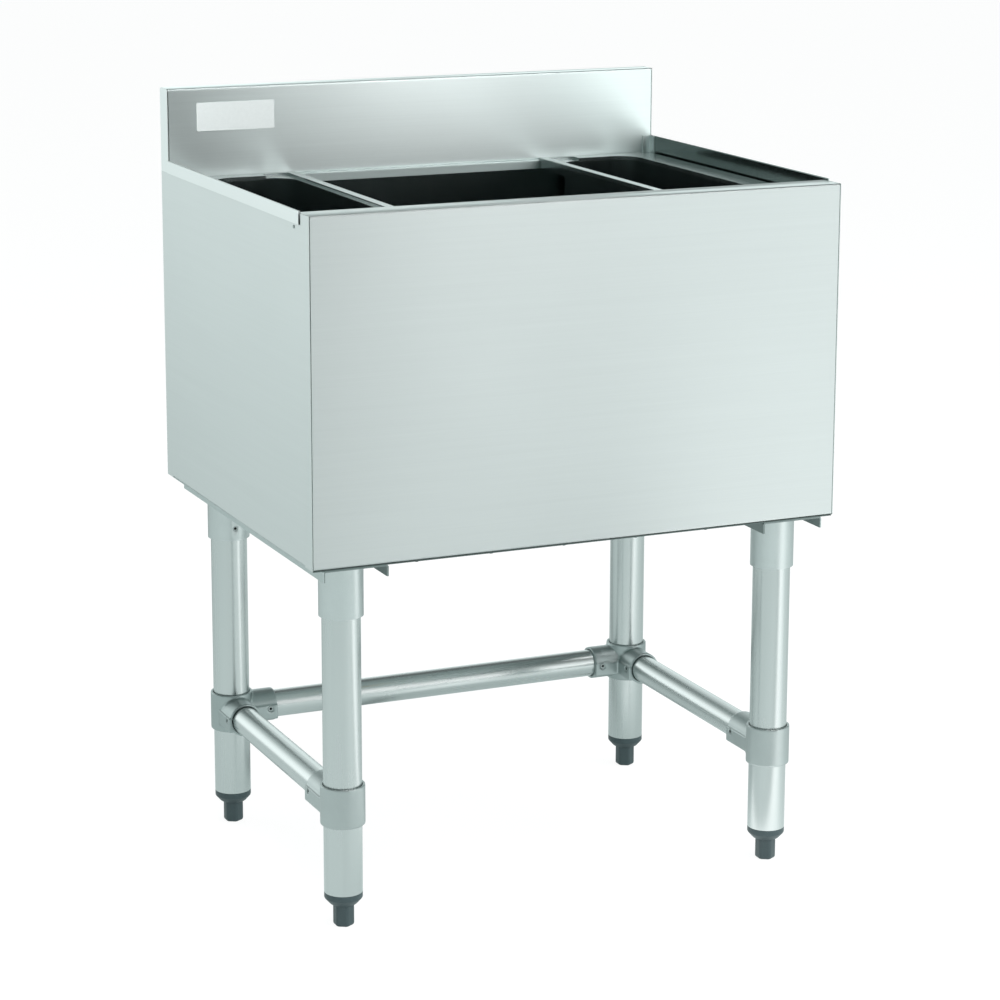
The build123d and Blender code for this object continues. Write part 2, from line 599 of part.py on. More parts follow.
# Leg sockets, legs, foot inserts and feet
def leg_socket(x, y, facing):
    """A socket with a square top plate, drilled for one set screw."""
    socket = upright(x, y, SOCKET_BOTTOM, SOCKET_CEILING, SOCKET_BORE + 2 * SOCKET_WALL)
    plate = extrude(RectangleRounded(SOCKET_PLATE, SOCKET_PLATE, SOCKET_PLATE_CORNER), SOCKET_PLATE_THICKNESS)
    socket += Pos(x, y, SOCKET_CEILING) * plate
    socket -= upright(x, y, SOCKET_BOTTOM - OVERSHOOT, SOCKET_CEILING, SOCKET_BORE)
    screw_z = SOCKET_BOTTOM + SOCKET_SCREW_RISE
    return socket - rod((x, y, screw_z), (0, facing, 0), SOCKET_BORE, screw_bore)


def leg_tube(x, y):
    """A round leg tube."""
    tube = upright(x, y, LEG_BOTTOM, SOCKET_CEILING, LEG_DIAMETER)
    return tube - upright(x, y, LEG_BOTTOM - OVERSHOOT, SOCKET_CEILING + OVERSHOOT, LEG_BORE)


def foot_insert(x, y):
    """A plug in the end of the leg, with a ring, a taper and a bore for the foot's stem."""
    ring_bottom = LEG_BOTTOM - FOOT_RING_HEIGHT
    plug_top = LEG_BOTTOM + FOOT_PLUG_LENGTH
    insert = upright(x, y, LEG_BOTTOM, plug_top, LEG_BORE - 2 * FOOT_PLUG_CLEARANCE)
    insert += upright(x, y, ring_bottom, LEG_BOTTOM, LEG_DIAMETER)
    taper = Cone(FOOT_TAPER_DIAMETER / 2, LEG_DIAMETER / 2, ring_bottom - FOOT_HEIGHT, align=BASE)
    insert += Pos(x, y, FOOT_HEIGHT) * taper
    stem_bore = FOOT_STEM_DIAMETER + 2 * FOOT_STEM_CLEARANCE
    return insert - upright(x, y, FOOT_HEIGHT - OVERSHOOT, plug_top + OVERSHOOT, stem_bore)


def foot(x, y):
    """An adjustable foot: a hexagonal grip with rounded corners, under a round stem."""
    grip = hexagon(FOOT_HEX, FOOT_HEIGHT) & Cylinder(FOOT_DIAMETER / 2, FOOT_HEIGHT, align=BASE)
    grip = fillet(grip.faces().sort_by(Axis.Z)[0].edges(), FOOT_ROUNDING)
    stem = upright(x, y, FOOT_HEIGHT, FOOT_HEIGHT + FOOT_STEM_LENGTH, FOOT_STEM_DIAMETER)
    return Pos(x, y, 0) * grip + stem


# Rail fittings: a collar on the leg, with one or two sockets for the cross rails
def rail_socket_parts(x, y, direction, screw_direction, reach):
    """The outside, the hollow and the screw of one rail socket, with a flat pad on the screw's side."""
    start = Vector(x, y, RAIL_HEIGHT)
    outside = rod(start, direction, reach, RAIL_SOCKET_DIAMETER)
    pad_top = start + Vector(0, 0, RAIL_PAD_RISE)
    pad_end = start + Vector(*direction) * reach + Vector(*screw_direction) * RAIL_PAD_FACE
    pad_end -= Vector(0, 0, RAIL_PAD_FALL)
    pad_low = [min(a, b) for a, b in zip(pad_top, pad_end)]
    pad_high = [max(a, b) for a, b in zip(pad_top, pad_end)]
    outside += box_between(pad_low, pad_high)
    hollow = rod(start, direction, reach + OVERSHOOT, RAIL_BORE)
    screw_at = start + Vector(*direction) * (reach - RAIL_SCREW_INSET)
    hollow += rod(screw_at, screw_direction, RAIL_SOCKET_DIAMETER, screw_bore)
    tip = screw_at + Vector(*screw_direction) * (RAIL_DIAMETER / 2)
    screw = set_screw(tip, screw_direction, RAIL_PAD_FACE - RAIL_DIAMETER / 2 - SET_SCREW_RECESS)
    return outside, hollow, screw


def rail_fitting(x, y, inward_x, inward_y):
    """A fitting with a socket for the side rail, and at the back one more for the back rail."""
    low = RAIL_HEIGHT - COLLAR_HEIGHT / 2
    high = RAIL_HEIGHT + COLLAR_HEIGHT / 2
    body = upright(x, y, low, high, COLLAR_DIAMETER)
    hollow = upright(x, y, low - OVERSHOOT, high + OVERSHOOT, SOCKET_BORE)
    screws = []
    if inward_y > 0:
        routes = [((0, 1, 0), (-1, 0, 0), FRONT_RAIL_SOCKET_REACH)]
    else:
        routes = [
            ((0, -1, 0), (-1, 0, 0), BACK_RAIL_SOCKET_REACH),
            ((inward_x, 0, 0), (0, -1, 0), BACK_RAIL_SOCKET_REACH),
        ]
    for direction, screw_direction, reach in routes:
        outside, socket_hollow, screw = rail_socket_parts(x, y, direction, screw_direction, reach)
        body += outside
        hollow += socket_hollow
        screws.append(screw)
    return body - hollow, screws


for name, (side, leg_y, inward) in LEGS.items():
    leg_x = side * LEG_X
    pieces[f"{name}_leg_socket"] = leg_socket(leg_x, leg_y, inward)
    pieces[f"{name}_leg"] = leg_tube(leg_x, leg_y)
    pieces[f"{name}_foot_insert"] = foot_insert(leg_x, leg_y)
    pieces[f"{name}_foot"] = foot(leg_x, leg_y)
    pieces[f"{name}_rail_fitting"], fitting_screws = rail_fitting(leg_x, leg_y, -side, inward)
    rail_screws += fitting_screws
    screw_tip = (leg_x, leg_y + inward * LEG_DIAMETER / 2, SOCKET_BOTTOM + SOCKET_SCREW_RISE)
    socket_screws += set_screw(screw_tip, (0, inward, 0), SOCKET_CLEARANCE + SOCKET_WALL - SET_SCREW_RECESS)

pieces["socket_set_screws"] = socket_screws
pieces["rail_set_screws"] = rail_screws


# Cross rails: two side rails and a back rail, open at the front
def rail(start, direction, length):
    """A round tube between two fittings."""
    tube = rod(start, direction, length, RAIL_DIAMETER)
    return tube - rod(start, direction, length, RAIL_DIAMETER - 2 * RAIL_WALL)


side_rail_start = LEG_FRONT_Y + RAIL_START
side_rail_length = LEG_BACK_Y - LEG_FRONT_Y - 2 * RAIL_START
pieces["left_side_rail"] = rail((-LEG_X, side_rail_start, RAIL_HEIGHT), (0, 1, 0), side_rail_length)
pieces["right_side_rail"] = rail((LEG_X, side_rail_start, RAIL_HEIGHT), (0, 1, 0), side_rail_length)
pieces["back_rail"] = rail((RAIL_START - LEG_X, LEG_BACK_Y, RAIL_HEIGHT), (1, 0, 0), 2 * (LEG_X - RAIL_START))

# Bolts that hold the channels, with their heads under the web, and the weld nuts on the bottom panel
channel_bolts = Part()
channel_nuts = Part()
for x, y in bolt_places:
    head = Pos(x, y, CHANNEL_UNDERSIDE - CHANNEL_BOLT_HEAD) * hexagon(CHANNEL_BOLT_HEX, CHANNEL_BOLT_HEAD)
    channel_bolts += head + upright(x, y, CHANNEL_UNDERSIDE, bolt_top, CHANNEL_BOLT_DIAMETER)
    nut = Pos(x, y, SHELL_BOTTOM) * hexagon(CHANNEL_BOLT_HEX, CHANNEL_NUT_HEIGHT)
    nut_bore = CHANNEL_BOLT_DIAMETER + 2 * CHANNEL_NUT_THREAD_CLEARANCE
    channel_nuts += nut - upright(x, y, SHELL_BOTTOM - OVERSHOOT, bolt_top, nut_bore)
pieces["channel_bolts"] = channel_bolts
pieces["channel_nuts"] = channel_nuts

# Domed rivets along the front's bottom flange
dome_radius = (RIVET_DIAMETER ** 2 / 4 + RIVET_HEAD ** 2) / (2 * RIVET_HEAD)
flange_rivet = Pos(0, 0, RIVET_HEAD - dome_radius) * Sphere(dome_radius)
flange_rivet &= Cylinder(RIVET_DIAMETER / 2, 2 * RIVET_HEAD, align=BASE)
flange_rivet += Pos(0, 0, -2 * SHEET) * Cylinder(RIVET_SHANK_DIAMETER / 2, 2 * SHEET, align=BASE)
pieces["flange_rivets"] = Part() + [
    Plane(origin=(x, rivet_y, BOTTOM_PANEL_UNDERSIDE), z_dir=(0, 0, -1)) * flange_rivet for x in rivet_xs
]

# A flat rivet under the front end of each hem
hem_rivet = Cylinder(HEM_RIVET_DIAMETER / 2, HEM_RIVET_HEAD, align=BASE)
hem_rivet = chamfer(hem_rivet.edges().group_by(Axis.Z)[-1], HEM_RIVET_CHAMFER)
hem_rivet += Pos(0, 0, -HEM_RIVET_SHANK_LENGTH) * Cylinder(
    HEM_RIVET_SHANK_DIAMETER / 2, HEM_RIVET_SHANK_LENGTH, align=BASE
)
hem_rivet_y = FRONT_FACE + HEM_START + HEM_RIVET_SETBACK
hem_rivet_z = SIDE_RIM_HEIGHT - HEM_HEIGHT - HEM_RIVET_DROP
hem_rivets = Part()
for side in (-1, 1):
    place = Plane(origin=(side * SIDE_FACE, hem_rivet_y, hem_rivet_z), z_dir=(side, 0, 0))
    hem_rivets += place * hem_rivet
    hand = "left" if side < 0 else "right"
    pieces[f"{hand}_side_panel"] -= place * hem_rivet
pieces["hem_rivets"] = hem_rivets

# Blank plate on the backsplash
plate = extrude(RectangleRounded(PLATE_WIDTH, PLATE_HEIGHT, PLATE_CORNER), PLATE_THICKNESS)
plate_x = -BODY_WIDTH / 2 + PLATE_LEFT_INSET + PLATE_WIDTH / 2
plate_z = OVERALL_HEIGHT - PLATE_TOP_INSET - PLATE_HEIGHT / 2
plate_place = Plane(origin=(plate_x, SPLASH_FACE, plate_z), x_dir=(1, 0, 0), z_dir=(0, -1, 0))
pieces["blank_plate"] = plate_place * plate

os.makedirs("parts", exist_ok=True)
for name, piece in pieces.items():
    export_step(piece, f"parts/{name}.step")
print(len(pieces), "nodes")
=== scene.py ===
import math
import bmesh
import bpy
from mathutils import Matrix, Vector


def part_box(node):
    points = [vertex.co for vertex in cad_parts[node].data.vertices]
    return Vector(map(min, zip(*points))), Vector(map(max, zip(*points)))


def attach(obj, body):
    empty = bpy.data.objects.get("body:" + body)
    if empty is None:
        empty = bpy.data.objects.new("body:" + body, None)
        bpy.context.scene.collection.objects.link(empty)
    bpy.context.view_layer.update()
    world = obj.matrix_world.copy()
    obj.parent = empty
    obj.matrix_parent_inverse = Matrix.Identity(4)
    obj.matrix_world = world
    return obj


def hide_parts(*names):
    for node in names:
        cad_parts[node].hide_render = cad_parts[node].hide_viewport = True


# The looks of an underbar ice bin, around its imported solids. Metres, +Z up, +Y to the back.
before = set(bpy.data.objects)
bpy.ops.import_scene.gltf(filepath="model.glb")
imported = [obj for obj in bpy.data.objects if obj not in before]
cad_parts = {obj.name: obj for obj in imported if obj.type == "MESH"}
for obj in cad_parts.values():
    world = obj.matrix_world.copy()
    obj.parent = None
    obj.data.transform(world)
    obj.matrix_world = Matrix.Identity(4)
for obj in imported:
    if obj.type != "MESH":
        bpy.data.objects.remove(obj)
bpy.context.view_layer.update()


# Camera: it stands at the front left of the bin, a little above its rim, and looks slightly down.
# A long lens keeps the uprights almost parallel, and a small shift frames the bin.
camera = bpy.data.objects.new("camera", bpy.data.cameras.new("camera"))
bpy.context.collection.objects.link(camera)
camera.location = (-1.344, -3.025, 1.210)
camera.rotation_euler = (math.radians(77.71), 0, math.radians(-23.37))
camera.data.sensor_width = 36
camera.data.lens = 109.0
camera.data.shift_x = 0.0391
camera.data.shift_y = -0.08
bpy.context.scene.camera = camera
bpy.context.scene.view_settings.view_transform = "Standard"


# Studio: a white floor under a pale surround, which is brightest at the front right. It darkens high up
# and, a few steps away, straight in front. The floor keeps the bin's shadow, and its white reaches only
# the camera.
def open_socket(sockets, name):
    """The socket of that name that is in use, or the first one in use."""
    return next(s for s in sockets if s.enabled and name in (None, s.name))


class Wire:
    """A shader socket in arithmetic: each operation or comparison adds a Math node."""

    def __init__(self, finish, socket):
        self.finish = finish
        self.socket = socket

    def maths(self, operation, first, second):
        """A Math node on two values."""
        return self.finish.add("Math", {"operation": operation}, {0: first, 1: second})

    def __add__(self, other):
        return self.maths("ADD", self, other)

    def __radd__(self, other):
        return self.maths("ADD", other, self)

    def __sub__(self, other):
        return self.maths("SUBTRACT", self, other)

    def __rsub__(self, other):
        return self.maths("SUBTRACT", other, self)

    def __mul__(self, other):
        return self.maths("MULTIPLY", self, other)

    def __rmul__(self, other):
        return self.maths("MULTIPLY", other, self)

    def __abs__(self):
        return self.maths("ABSOLUTE", self, 0.0)

    def __gt__(self, level):
        return self.maths("GREATER_THAN", self, level)

    def __lt__(self, level):
        return self.maths("LESS_THAN", self, level)


class Finish:
    """The nodes of one finish, which belong to a material or to the world."""

    def __init__(self, name, owner=None):
        self.owner = owner or bpy.data.materials.new(name)
        self.owner.use_nodes = True
        self.tree = self.owner.node_tree
        self.tree.nodes.clear()

    def add(self, kind, settings, inputs, output=None):
        """Adds a node from its type, its settings and its inputs, and gives one of its outputs."""
        node = self.tree.nodes.new("ShaderNode" + kind)
        for name, value in settings.items():
            if name == "stops":
                for stop, (position, level) in zip((0, 1), value):
                    node.color_ramp.elements[stop].position = position
                    node.color_ramp.elements[stop].color = (level, level, level, 1)
                for position, level in value[2:]:
                    node.color_ramp.elements.new(position).color = (level, level, level, 1)
            else:
                setattr(node, name, value)
        for key, value in inputs.items():
            socket = node.inputs[key] if isinstance(key, int) else open_socket(node.inputs, key)
            if isinstance(value, Wire):
                self.tree.links.new(value.socket, socket)
            else:
                socket.default_value = value
        return Wire(self, open_socket(node.outputs, output)) if node.outputs else None

    def tint(self, share, first, second):
        """A colour between two colours."""
        return self.add("Mix", {"data_type": "RGBA"}, {"Factor": share, "A": first, "B": second})

    def spot(self):
        """Where a point lies on its piece, in metres."""
        return self.add("TexCoord", {}, {}, "Object")

    def place(self, way):
        """Where a point lies on its piece along X, Y or Z."""
        return self.add("SeparateXYZ", {}, {"Vector": self.spot()}, way)

    def grain(self, scale, detail):
        """Noise from 0 to 1 over the piece, in features per metre along X, Y and Z."""
        stretched = self.add("Mapping", {}, {"Vector": self.spot(), "Scale": scale})
        return self.add("TexNoise", {}, {"Vector": stretched, "Scale": 1.0, "Detail": detail})

    def close(self, shader):
        """Joins the finished shader to the material's output."""
        kind = "OutputWorld" if isinstance(self.owner, bpy.types.World) else "OutputMaterial"
        self.add(kind, {}, {"Surface": shader})
        return self.owner


def white_to_lens(finish):
    """1 for a ray of the camera, of a mirror or through glass, and 0 for one that only carries light."""
    seen = finish.add("LightPath", {}, {}, "Is Camera Ray")
    mirrored = finish.add("LightPath", {}, {}, "Is Glossy Ray")
    through = finish.add("LightPath", {}, {}, "Is Transmission Ray")
    return finish.add("Math", {"operation": "ADD", "use_clamp": True}, {0: seen + mirrored, 1: through})


SURROUND_PEAK = 2.3
NEAR_SHARES = [
    (0.0, 0.3), (1.0, 0.3), (0.03, 0.1), (0.075, 0.3), (0.16, 0.35), (0.27, 0.38), (0.42, 0.37),
    (0.53, 0.43), (0.56, 0.36), (0.572, 0.18), (0.588, 0.84), (0.615, 0.74), (0.67, 0.45), (0.78, 0.31),
]
FAR_SHARES = [
    (0.0, 0.41), (1.0, 0.41), (0.03, 0.33), (0.075, 0.76), (0.16, 0.38), (0.27, 0.3), (0.42, 0.25),
    (0.53, 0.05), (0.554, 0.03), (0.5585, 1.15), (0.563, 1.65), (0.568, 1.3), (0.573, 0.3),
    (0.588, 0.48), (0.6, 0.92), (0.62, 0.7), (0.67, 0.41), (0.78, 0.28), (0.88, 0.41), (0.94, 0.56),
]
OVERHEAD_SHARES = [
    (0.0, 1.0), (1.0, 0.7), (0.3, 1.0), (0.5, 0.6), (0.72, 0.12), (0.85, 0.12), (0.96, 0.6),
]
SURROUND_SHADE = (0.78, 1.0, 0.98, 1)
WHITE = (1, 1, 1, 1)


def surround_share(finish, direction, shares):
    """How much of its peak the surround has in a direction.

    The shares go round from the back, by the left at 0.25, the front at 0.5 and the right at 0.75.
    """
    x = finish.add("SeparateXYZ", {}, {"Vector": direction}, "X")
    y = finish.add("SeparateXYZ", {}, {"Vector": direction}, "Y")
    turn = x.maths("ARCTAN2", x, 0 - y) * (0.5 / math.pi) + 0.5
    return finish.add("ValToRGB", {"stops": shares}, {"Fac": turn})


FLOOR_SIZE = 40.0
PAPER_COLOUR = (0.84, 0.84, 0.84, 1)
FLOOR_GLOW_SHARE = 0.78
FLOOR_GLOW = 1.16
FLOOR_NEAR_END = 2.2
FLOOR_FAR_START = 5.0
bpy.ops.mesh.primitive_plane_add(size=FLOOR_SIZE)
floor = bpy.context.object
floor.name = "studio_floor"
floor_paint = Finish("studio_floor")
paper = floor_paint.add("BsdfDiffuse", {}, {"Color": PAPER_COLOUR})
floor_spot = floor_paint.spot()
distance = floor_paint.add("VectorMath", {"operation": "LENGTH"}, {0: floor_spot}, "Value")
far = floor_paint.add("MapRange", {}, {
    "Value": distance,
    "From Min": FLOOR_NEAR_END,
    "From Max": FLOOR_FAR_START,
})
near_share = surround_share(floor_paint, floor_spot, NEAR_SHARES)
far_share = surround_share(floor_paint, floor_spot, FAR_SHARES)
floor_share = (1 - far) * near_share + far * far_share
to_lens = floor_paint.add("LightPath", {}, {}, "Is Camera Ray")
floor_level = to_lens * FLOOR_GLOW + (1 - to_lens) * (floor_share * SURROUND_PEAK)
mirrored_floor = floor_paint.tint(floor_share, SURROUND_SHADE, WHITE)
floor_colour = floor_paint.tint(to_lens, mirrored_floor, WHITE)
glow = floor_paint.add("Emission", {}, {"Color": floor_colour, "Strength": floor_level})
glow_share = white_to_lens(floor_paint) * FLOOR_GLOW_SHARE
floor.data.materials.append(
    floor_paint.close(floor_paint.add("MixShader", {}, {0: glow_share, 1: paper, 2: glow}))
)

surround = Finish("studio", bpy.data.worlds.new("studio"))
bpy.context.scene.world = surround.owner
direction = surround.add("TexCoord", {}, {}, "Generated")
rise = surround.add("SeparateXYZ", {}, {"Vector": direction}, "Z")
overhead = surround.add("ValToRGB", {"stops": OVERHEAD_SHARES}, {"Fac": rise})
seen = surround.add("LightPath", {}, {}, "Is Camera Ray")
wall_share = surround_share(surround, direction, FAR_SHARES)
strength = seen + (1 - seen) * (wall_share * overhead * SURROUND_PEAK)
mirrored_wall = surround.tint(wall_share, SURROUND_SHADE, WHITE)
backdrop = surround.tint(seen, mirrored_wall, WHITE)
surround.close(surround.add("Background", {}, {"Color": backdrop, "Strength": strength}))


def soft_box(name, place, target, size, power, mirrored=False):
    """A rectangular lamp that faces a point, and shows in the metal or only lights what is matt."""
    lamp = bpy.data.objects.new(name, bpy.data.lights.new(name, "AREA"))
    bpy.context.collection.objects.link(lamp)
    lamp.data.shape = "RECTANGLE"
    lamp.data.size, lamp.data.size_y = size
    lamp.data.energy = power
    lamp.visible_glossy = mirrored
    lamp.location = place
    lamp.rotation_euler = (Vector(target) - Vector(place)).to_track_quat("-Z", "Y").to_euler()


soft_box("right_box", place=(2.9, -2.3, 1.15), target=(0.1, 0, 0.6), size=(2.2, 2.2), power=40)
soft_box("front_fill", place=(-1.0, -3.6, 2.4), target=(0, 0, 0.5), size=(2.5, 2.5), power=60)
soft_box("top_fill", place=(0.2, -0.3, 3.4), target=(0, 0, 0.6), size=(2.6, 2.6), power=40)
soft_box(
    "top_strip", place=(0.3, -1.3, 3.0), target=(0, 0, 0.7), size=(3.0, 0.5), power=22, mirrored=True
)


# Shell: stainless steel sheet, sheared, folded and spot welded, with a factory brushed finish.
# The scratches run along each sheet, from end to end of the bin or from front to back.
def dress(material, *nodes):
    """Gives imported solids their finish."""
    for node in nodes:
        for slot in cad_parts[node].material_slots:
            slot.material = material


def shades(tone, spread):
    """A darker and a lighter colour, on either side of a tone."""
    return [tuple(channel * factor for channel in tone) + (1,) for factor in (1 - spread, 1 + spread)]


def running(way, along, across):
    """Features per metre along X, Y and Z, for a grain that runs along one of them."""
    return tuple(along if axis == way else across for axis in "XYZ")


SMUDGES = (5, 5, 5)
SCRATCH_SHARE = 0.6
BAND_SHARE = 0.4
BRUSHED_CONTRAST = 0.05
MARK_ROUGHNESS = 0.05
SMUDGE_ROUGHNESS = 0.06
QUARTER_TURN = 0.25


def brushed(name, way, bands, scratches, tone, roughness, spread=0.0, zones=None):
    """Brushed metal: fine long scratches, broader bands, soft smudges and a faint tooth.

    The bands and scratches are so many per metre along the grain and across it. Level scratches on an
    upright sheet spread what it mirrors up and down, by the given share.
    """
    finish = Finish(name)
    fine = finish.grain(running(way, *scratches), detail=2.0)
    broad = finish.grain(running(way, *bands), detail=1.0)
    smudges = finish.grain(SMUDGES, detail=2.0)
    mark = fine * SCRATCH_SHARE + broad * BAND_SHARE
    dark, light = shades(tone, BRUSHED_CONTRAST)
    colour = finish.tint(mark, dark, light)
    uneven = roughness + MARK_ROUGHNESS * (mark - 0.5) + SMUDGE_ROUGHNESS * (smudges - 0.5)
    if zones:
        colour, uneven = zones(finish, colour, uneven)
    return finish.close(finish.add("BsdfPrincipled", {}, {
        "Base Color": colour,
        "Metallic": 1.0,
        "Roughness": uneven,
        "Anisotropic": spread,
        "Anisotropic Rotation": QUARTER_TURN,
        "Normal": finish.add("Bump", {}, {"Strength": 0.03, "Distance": 0.0001, "Height": mark}),
    }))


SHEET_BANDS = (3, 160)
SHEET_SCRATCHES = (9, 1300)
SHEET_TONE = (0.605, 0.635, 0.63)
# The backsplash and its corner tabs get a lighter tone than the other sheets: painted light from above.
SPLASH_LIT_TONE = (0.76, 0.82, 0.812)
SPLASH_ROUGHNESS = 0.30
SHEET_ROUGHNESS = 0.36
SHEET_SPREAD = 0.92
HEM_HIGHLIGHT_TONE = (0.74, 0.765, 0.76)
LEDGE_TONE = (0.56, 0.635, 0.625)
INSIDE_SHADE_TONE = (0.24, 0.285, 0.275)
INSIDE_POLISH = 0.24
HEM_HEIGHT = 0.014
HEM_START = 0.026
SHEET = 0.0012
side_low, side_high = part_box("right_side_panel")
side_face = side_high.x - SHEET


def hem_highlight_and_inside_shade(finish, colour, roughness):
    """The hem's outside behind its notch is lighter, a painted highlight; the rim's inside is darker, a
    painted shade, and smoother.
    """
    outside = abs(finish.place("X")) > side_face - SHEET / 2
    behind_notch = finish.place("Y") > side_low.y + HEM_START - SHEET
    on_hem = finish.place("Z") > side_high.z - HEM_HEIGHT
    # The rim's inside is painted darker: painted shade.
    colour = finish.tint(outside, INSIDE_SHADE_TONE + (1,), colour)
    # The hem's band behind its notch is painted lighter: a painted highlight.
    colour = finish.tint(outside * behind_notch * on_hem, colour, HEM_HIGHLIGHT_TONE + (1,))
    return colour, roughness - INSIDE_POLISH * (1 - outside)


def sheet_steel(name, way, tone, roughness=SHEET_ROUGHNESS, zones=None):
    """One of the shell's sheets, brushed along X or Y."""
    return brushed(name, way, SHEET_BANDS, SHEET_SCRATCHES, tone, roughness, SHEET_SPREAD, zones)


front_steel = sheet_steel("front_steel", "X", SHEET_TONE)
# A lighter copy of the sheet steel: painted light.
lit_splash_steel = sheet_steel("lit_splash_steel", "X", SPLASH_LIT_TONE, SPLASH_ROUGHNESS)
ledge_steel = sheet_steel("ledge_steel", "X", LEDGE_TONE)
side_steel = sheet_steel("side_steel", "Y", SHEET_TONE, zones=hem_highlight_and_inside_shade)
dress(front_steel, "front_panel")
dress(ledge_steel, "front_ledge", "rear_ledge")
dress(lit_splash_steel, "backsplash", "left_corner_tab", "right_corner_tab")
dress(side_steel, "left_side_panel", "right_side_panel", "left_end_cap", "right_end_cap")


# Back, bottom and leg channels: galvanised sheet behind and under the foam, mostly out of sight.
# Zinc leaves flat crystals, each with its own shade. The channels are duller and painted darker: painted
# shade.
# The channels are bolted up through the bottom.
CRYSTALS_PER_METRE = 110.0
CRYSTAL_BEND = 0.006
CRYSTAL_SHARE = 0.6
CRYSTAL_ROUGHNESS = 0.16
PATCHES = (9, 9, 9)
PATCH_SHARE = 0.4
PATCH_ROUGHNESS = 0.15
ZINC_CONTRAST = 0.13


def spangled(name, tone, roughness, zones=None):
    """Galvanised sheet: zinc crystals, dull patches and a slightly uneven coat."""
    finish = Finish(name)
    spot = finish.spot()
    drift = finish.add("TexNoise", {}, {"Vector": spot, "Scale": 60.0, "Detail": 2.0}, "Color")
    bent = finish.add("Mix", {"data_type": "VECTOR"}, {"Factor": CRYSTAL_BEND, "A": spot, "B": drift})
    crystals = finish.add("TexVoronoi", {}, {"Vector": bent, "Scale": CRYSTALS_PER_METRE}, "Color")
    crystal = finish.add("SeparateColor", {}, {"Color": crystals}, "Red")
    patches = finish.grain(PATCHES, detail=3.0)
    mark = crystal * CRYSTAL_SHARE + patches * PATCH_SHARE
    dark, light = shades(tone, ZINC_CONTRAST)
    colour = finish.tint(mark, dark, light)
    if zones:
        colour = zones(finish, colour)
    uneven = roughness + CRYSTAL_ROUGHNESS * (crystal - 0.5) + PATCH_ROUGHNESS * (patches - 0.5)
    return finish.close(finish.add("BsdfPrincipled", {}, {
        "Base Color": colour,
        "Metallic": 1.0,
        "Roughness": uneven,
        "Normal": finish.add("Bump", {}, {"Strength": 0.1, "Distance": 0.0003, "Height": mark}),
    }))


ZINC_TONE = (0.57, 0.62, 0.615)
ZINC_ROUGHNESS = 0.42
# The channels are painted darker than the zinc: painted shade underneath.
CHANNEL_SHADE_TONE = (0.25, 0.29, 0.285)
CHANNEL_ROUGHNESS = 0.45
# A painted shadow line along the bottom's front edge, under the front's flange.
SHADOW_LINE_TONE = (0.13, 0.16, 0.155)
SHADOW_LINE_BAND = 0.003
CHANNEL_SHEET = 0.002
bottom_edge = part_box("bottom_panel")[0].y
channel_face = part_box("right_leg_channel")[1].x


def shadowed_edge(finish, colour):
    """The bottom's front edge, painted dark as the shadow under the front's flange."""
    return finish.tint(finish.place("Y") < bottom_edge + SHADOW_LINE_BAND, colour, SHADOW_LINE_TONE + (1,))


def unshaded_outside(finish, colour):
    """The channels' outer faces, which keep the zinc's plain tone; the rest of each channel is painted
    darker, a painted shade.
    """
    outside = abs(finish.place("X")) > channel_face - CHANNEL_SHEET / 2
    return finish.tint(outside, colour, ZINC_TONE + (1,))


zinc = spangled("galvanised_sheet", ZINC_TONE, ZINC_ROUGHNESS)
bottom_zinc = spangled("galvanised_bottom", ZINC_TONE, ZINC_ROUGHNESS, shadowed_edge)
channel_zinc = spangled("galvanised_channel", CHANNEL_SHADE_TONE, CHANNEL_ROUGHNESS, unshaded_outside)
dress(zinc, "back_panel", "channel_nuts")
dress(bottom_zinc, "bottom_panel")
dress(channel_zinc, "left_leg_channel", "right_leg_channel")


# Rivets: domed ones along the front's bottom flange, and a flat one under the front end of each hem.
# They are steel, blackened along the flange and dull under the hems, and all are set from outside.
SAND = (1100, 1100, 1100)
SAND_SHARE = 0.4
CLOUDS = (45, 45, 45)
CLOUD_SHARE = 0.6
CLOUD_ROUGHNESS = 0.15
CAST_CONTRAST = 0.12


def cast(name, tone, roughness, tooth):
    """A skin from a mould or a forge: a fine sandy tooth and cloudy patches."""
    finish = Finish(name)
    sand = finish.grain(SAND, detail=2.0)
    clouds = finish.grain(CLOUDS, detail=3.0)
    dark, light = shades(tone, CAST_CONTRAST)
    return finish.close(finish.add("BsdfPrincipled", {}, {
        "Base Color": finish.tint(sand * SAND_SHARE + clouds * CLOUD_SHARE, dark, light),
        "Metallic": 1.0,
        "Roughness": roughness + CLOUD_ROUGHNESS * (clouds - 0.5),
        "Normal": finish.add("Bump", {}, {"Strength": tooth, "Distance": 0.0003, "Height": sand}),
    }))


def settle(piece):
    """Works out the piece's modifiers and leaves it as one plain mesh."""
    evaluated = piece.evaluated_get(bpy.context.evaluated_depsgraph_get())
    mesh = bpy.data.meshes.new_from_object(evaluated)
    piece.modifiers.clear()
    piece.data = mesh


def shade(piece, crease):
    """Shades the piece smooth, but for edges sharper than so many degrees."""
    piece.data.shade_smooth()
    piece.data.set_sharp_from_angle(angle=math.radians(crease))


def belong(piece, material, body, slot, *nodes):
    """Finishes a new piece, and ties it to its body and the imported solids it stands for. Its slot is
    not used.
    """
    if not piece.data.materials:
        piece.data.materials.append(material)
    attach(piece, body)
    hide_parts(*nodes)


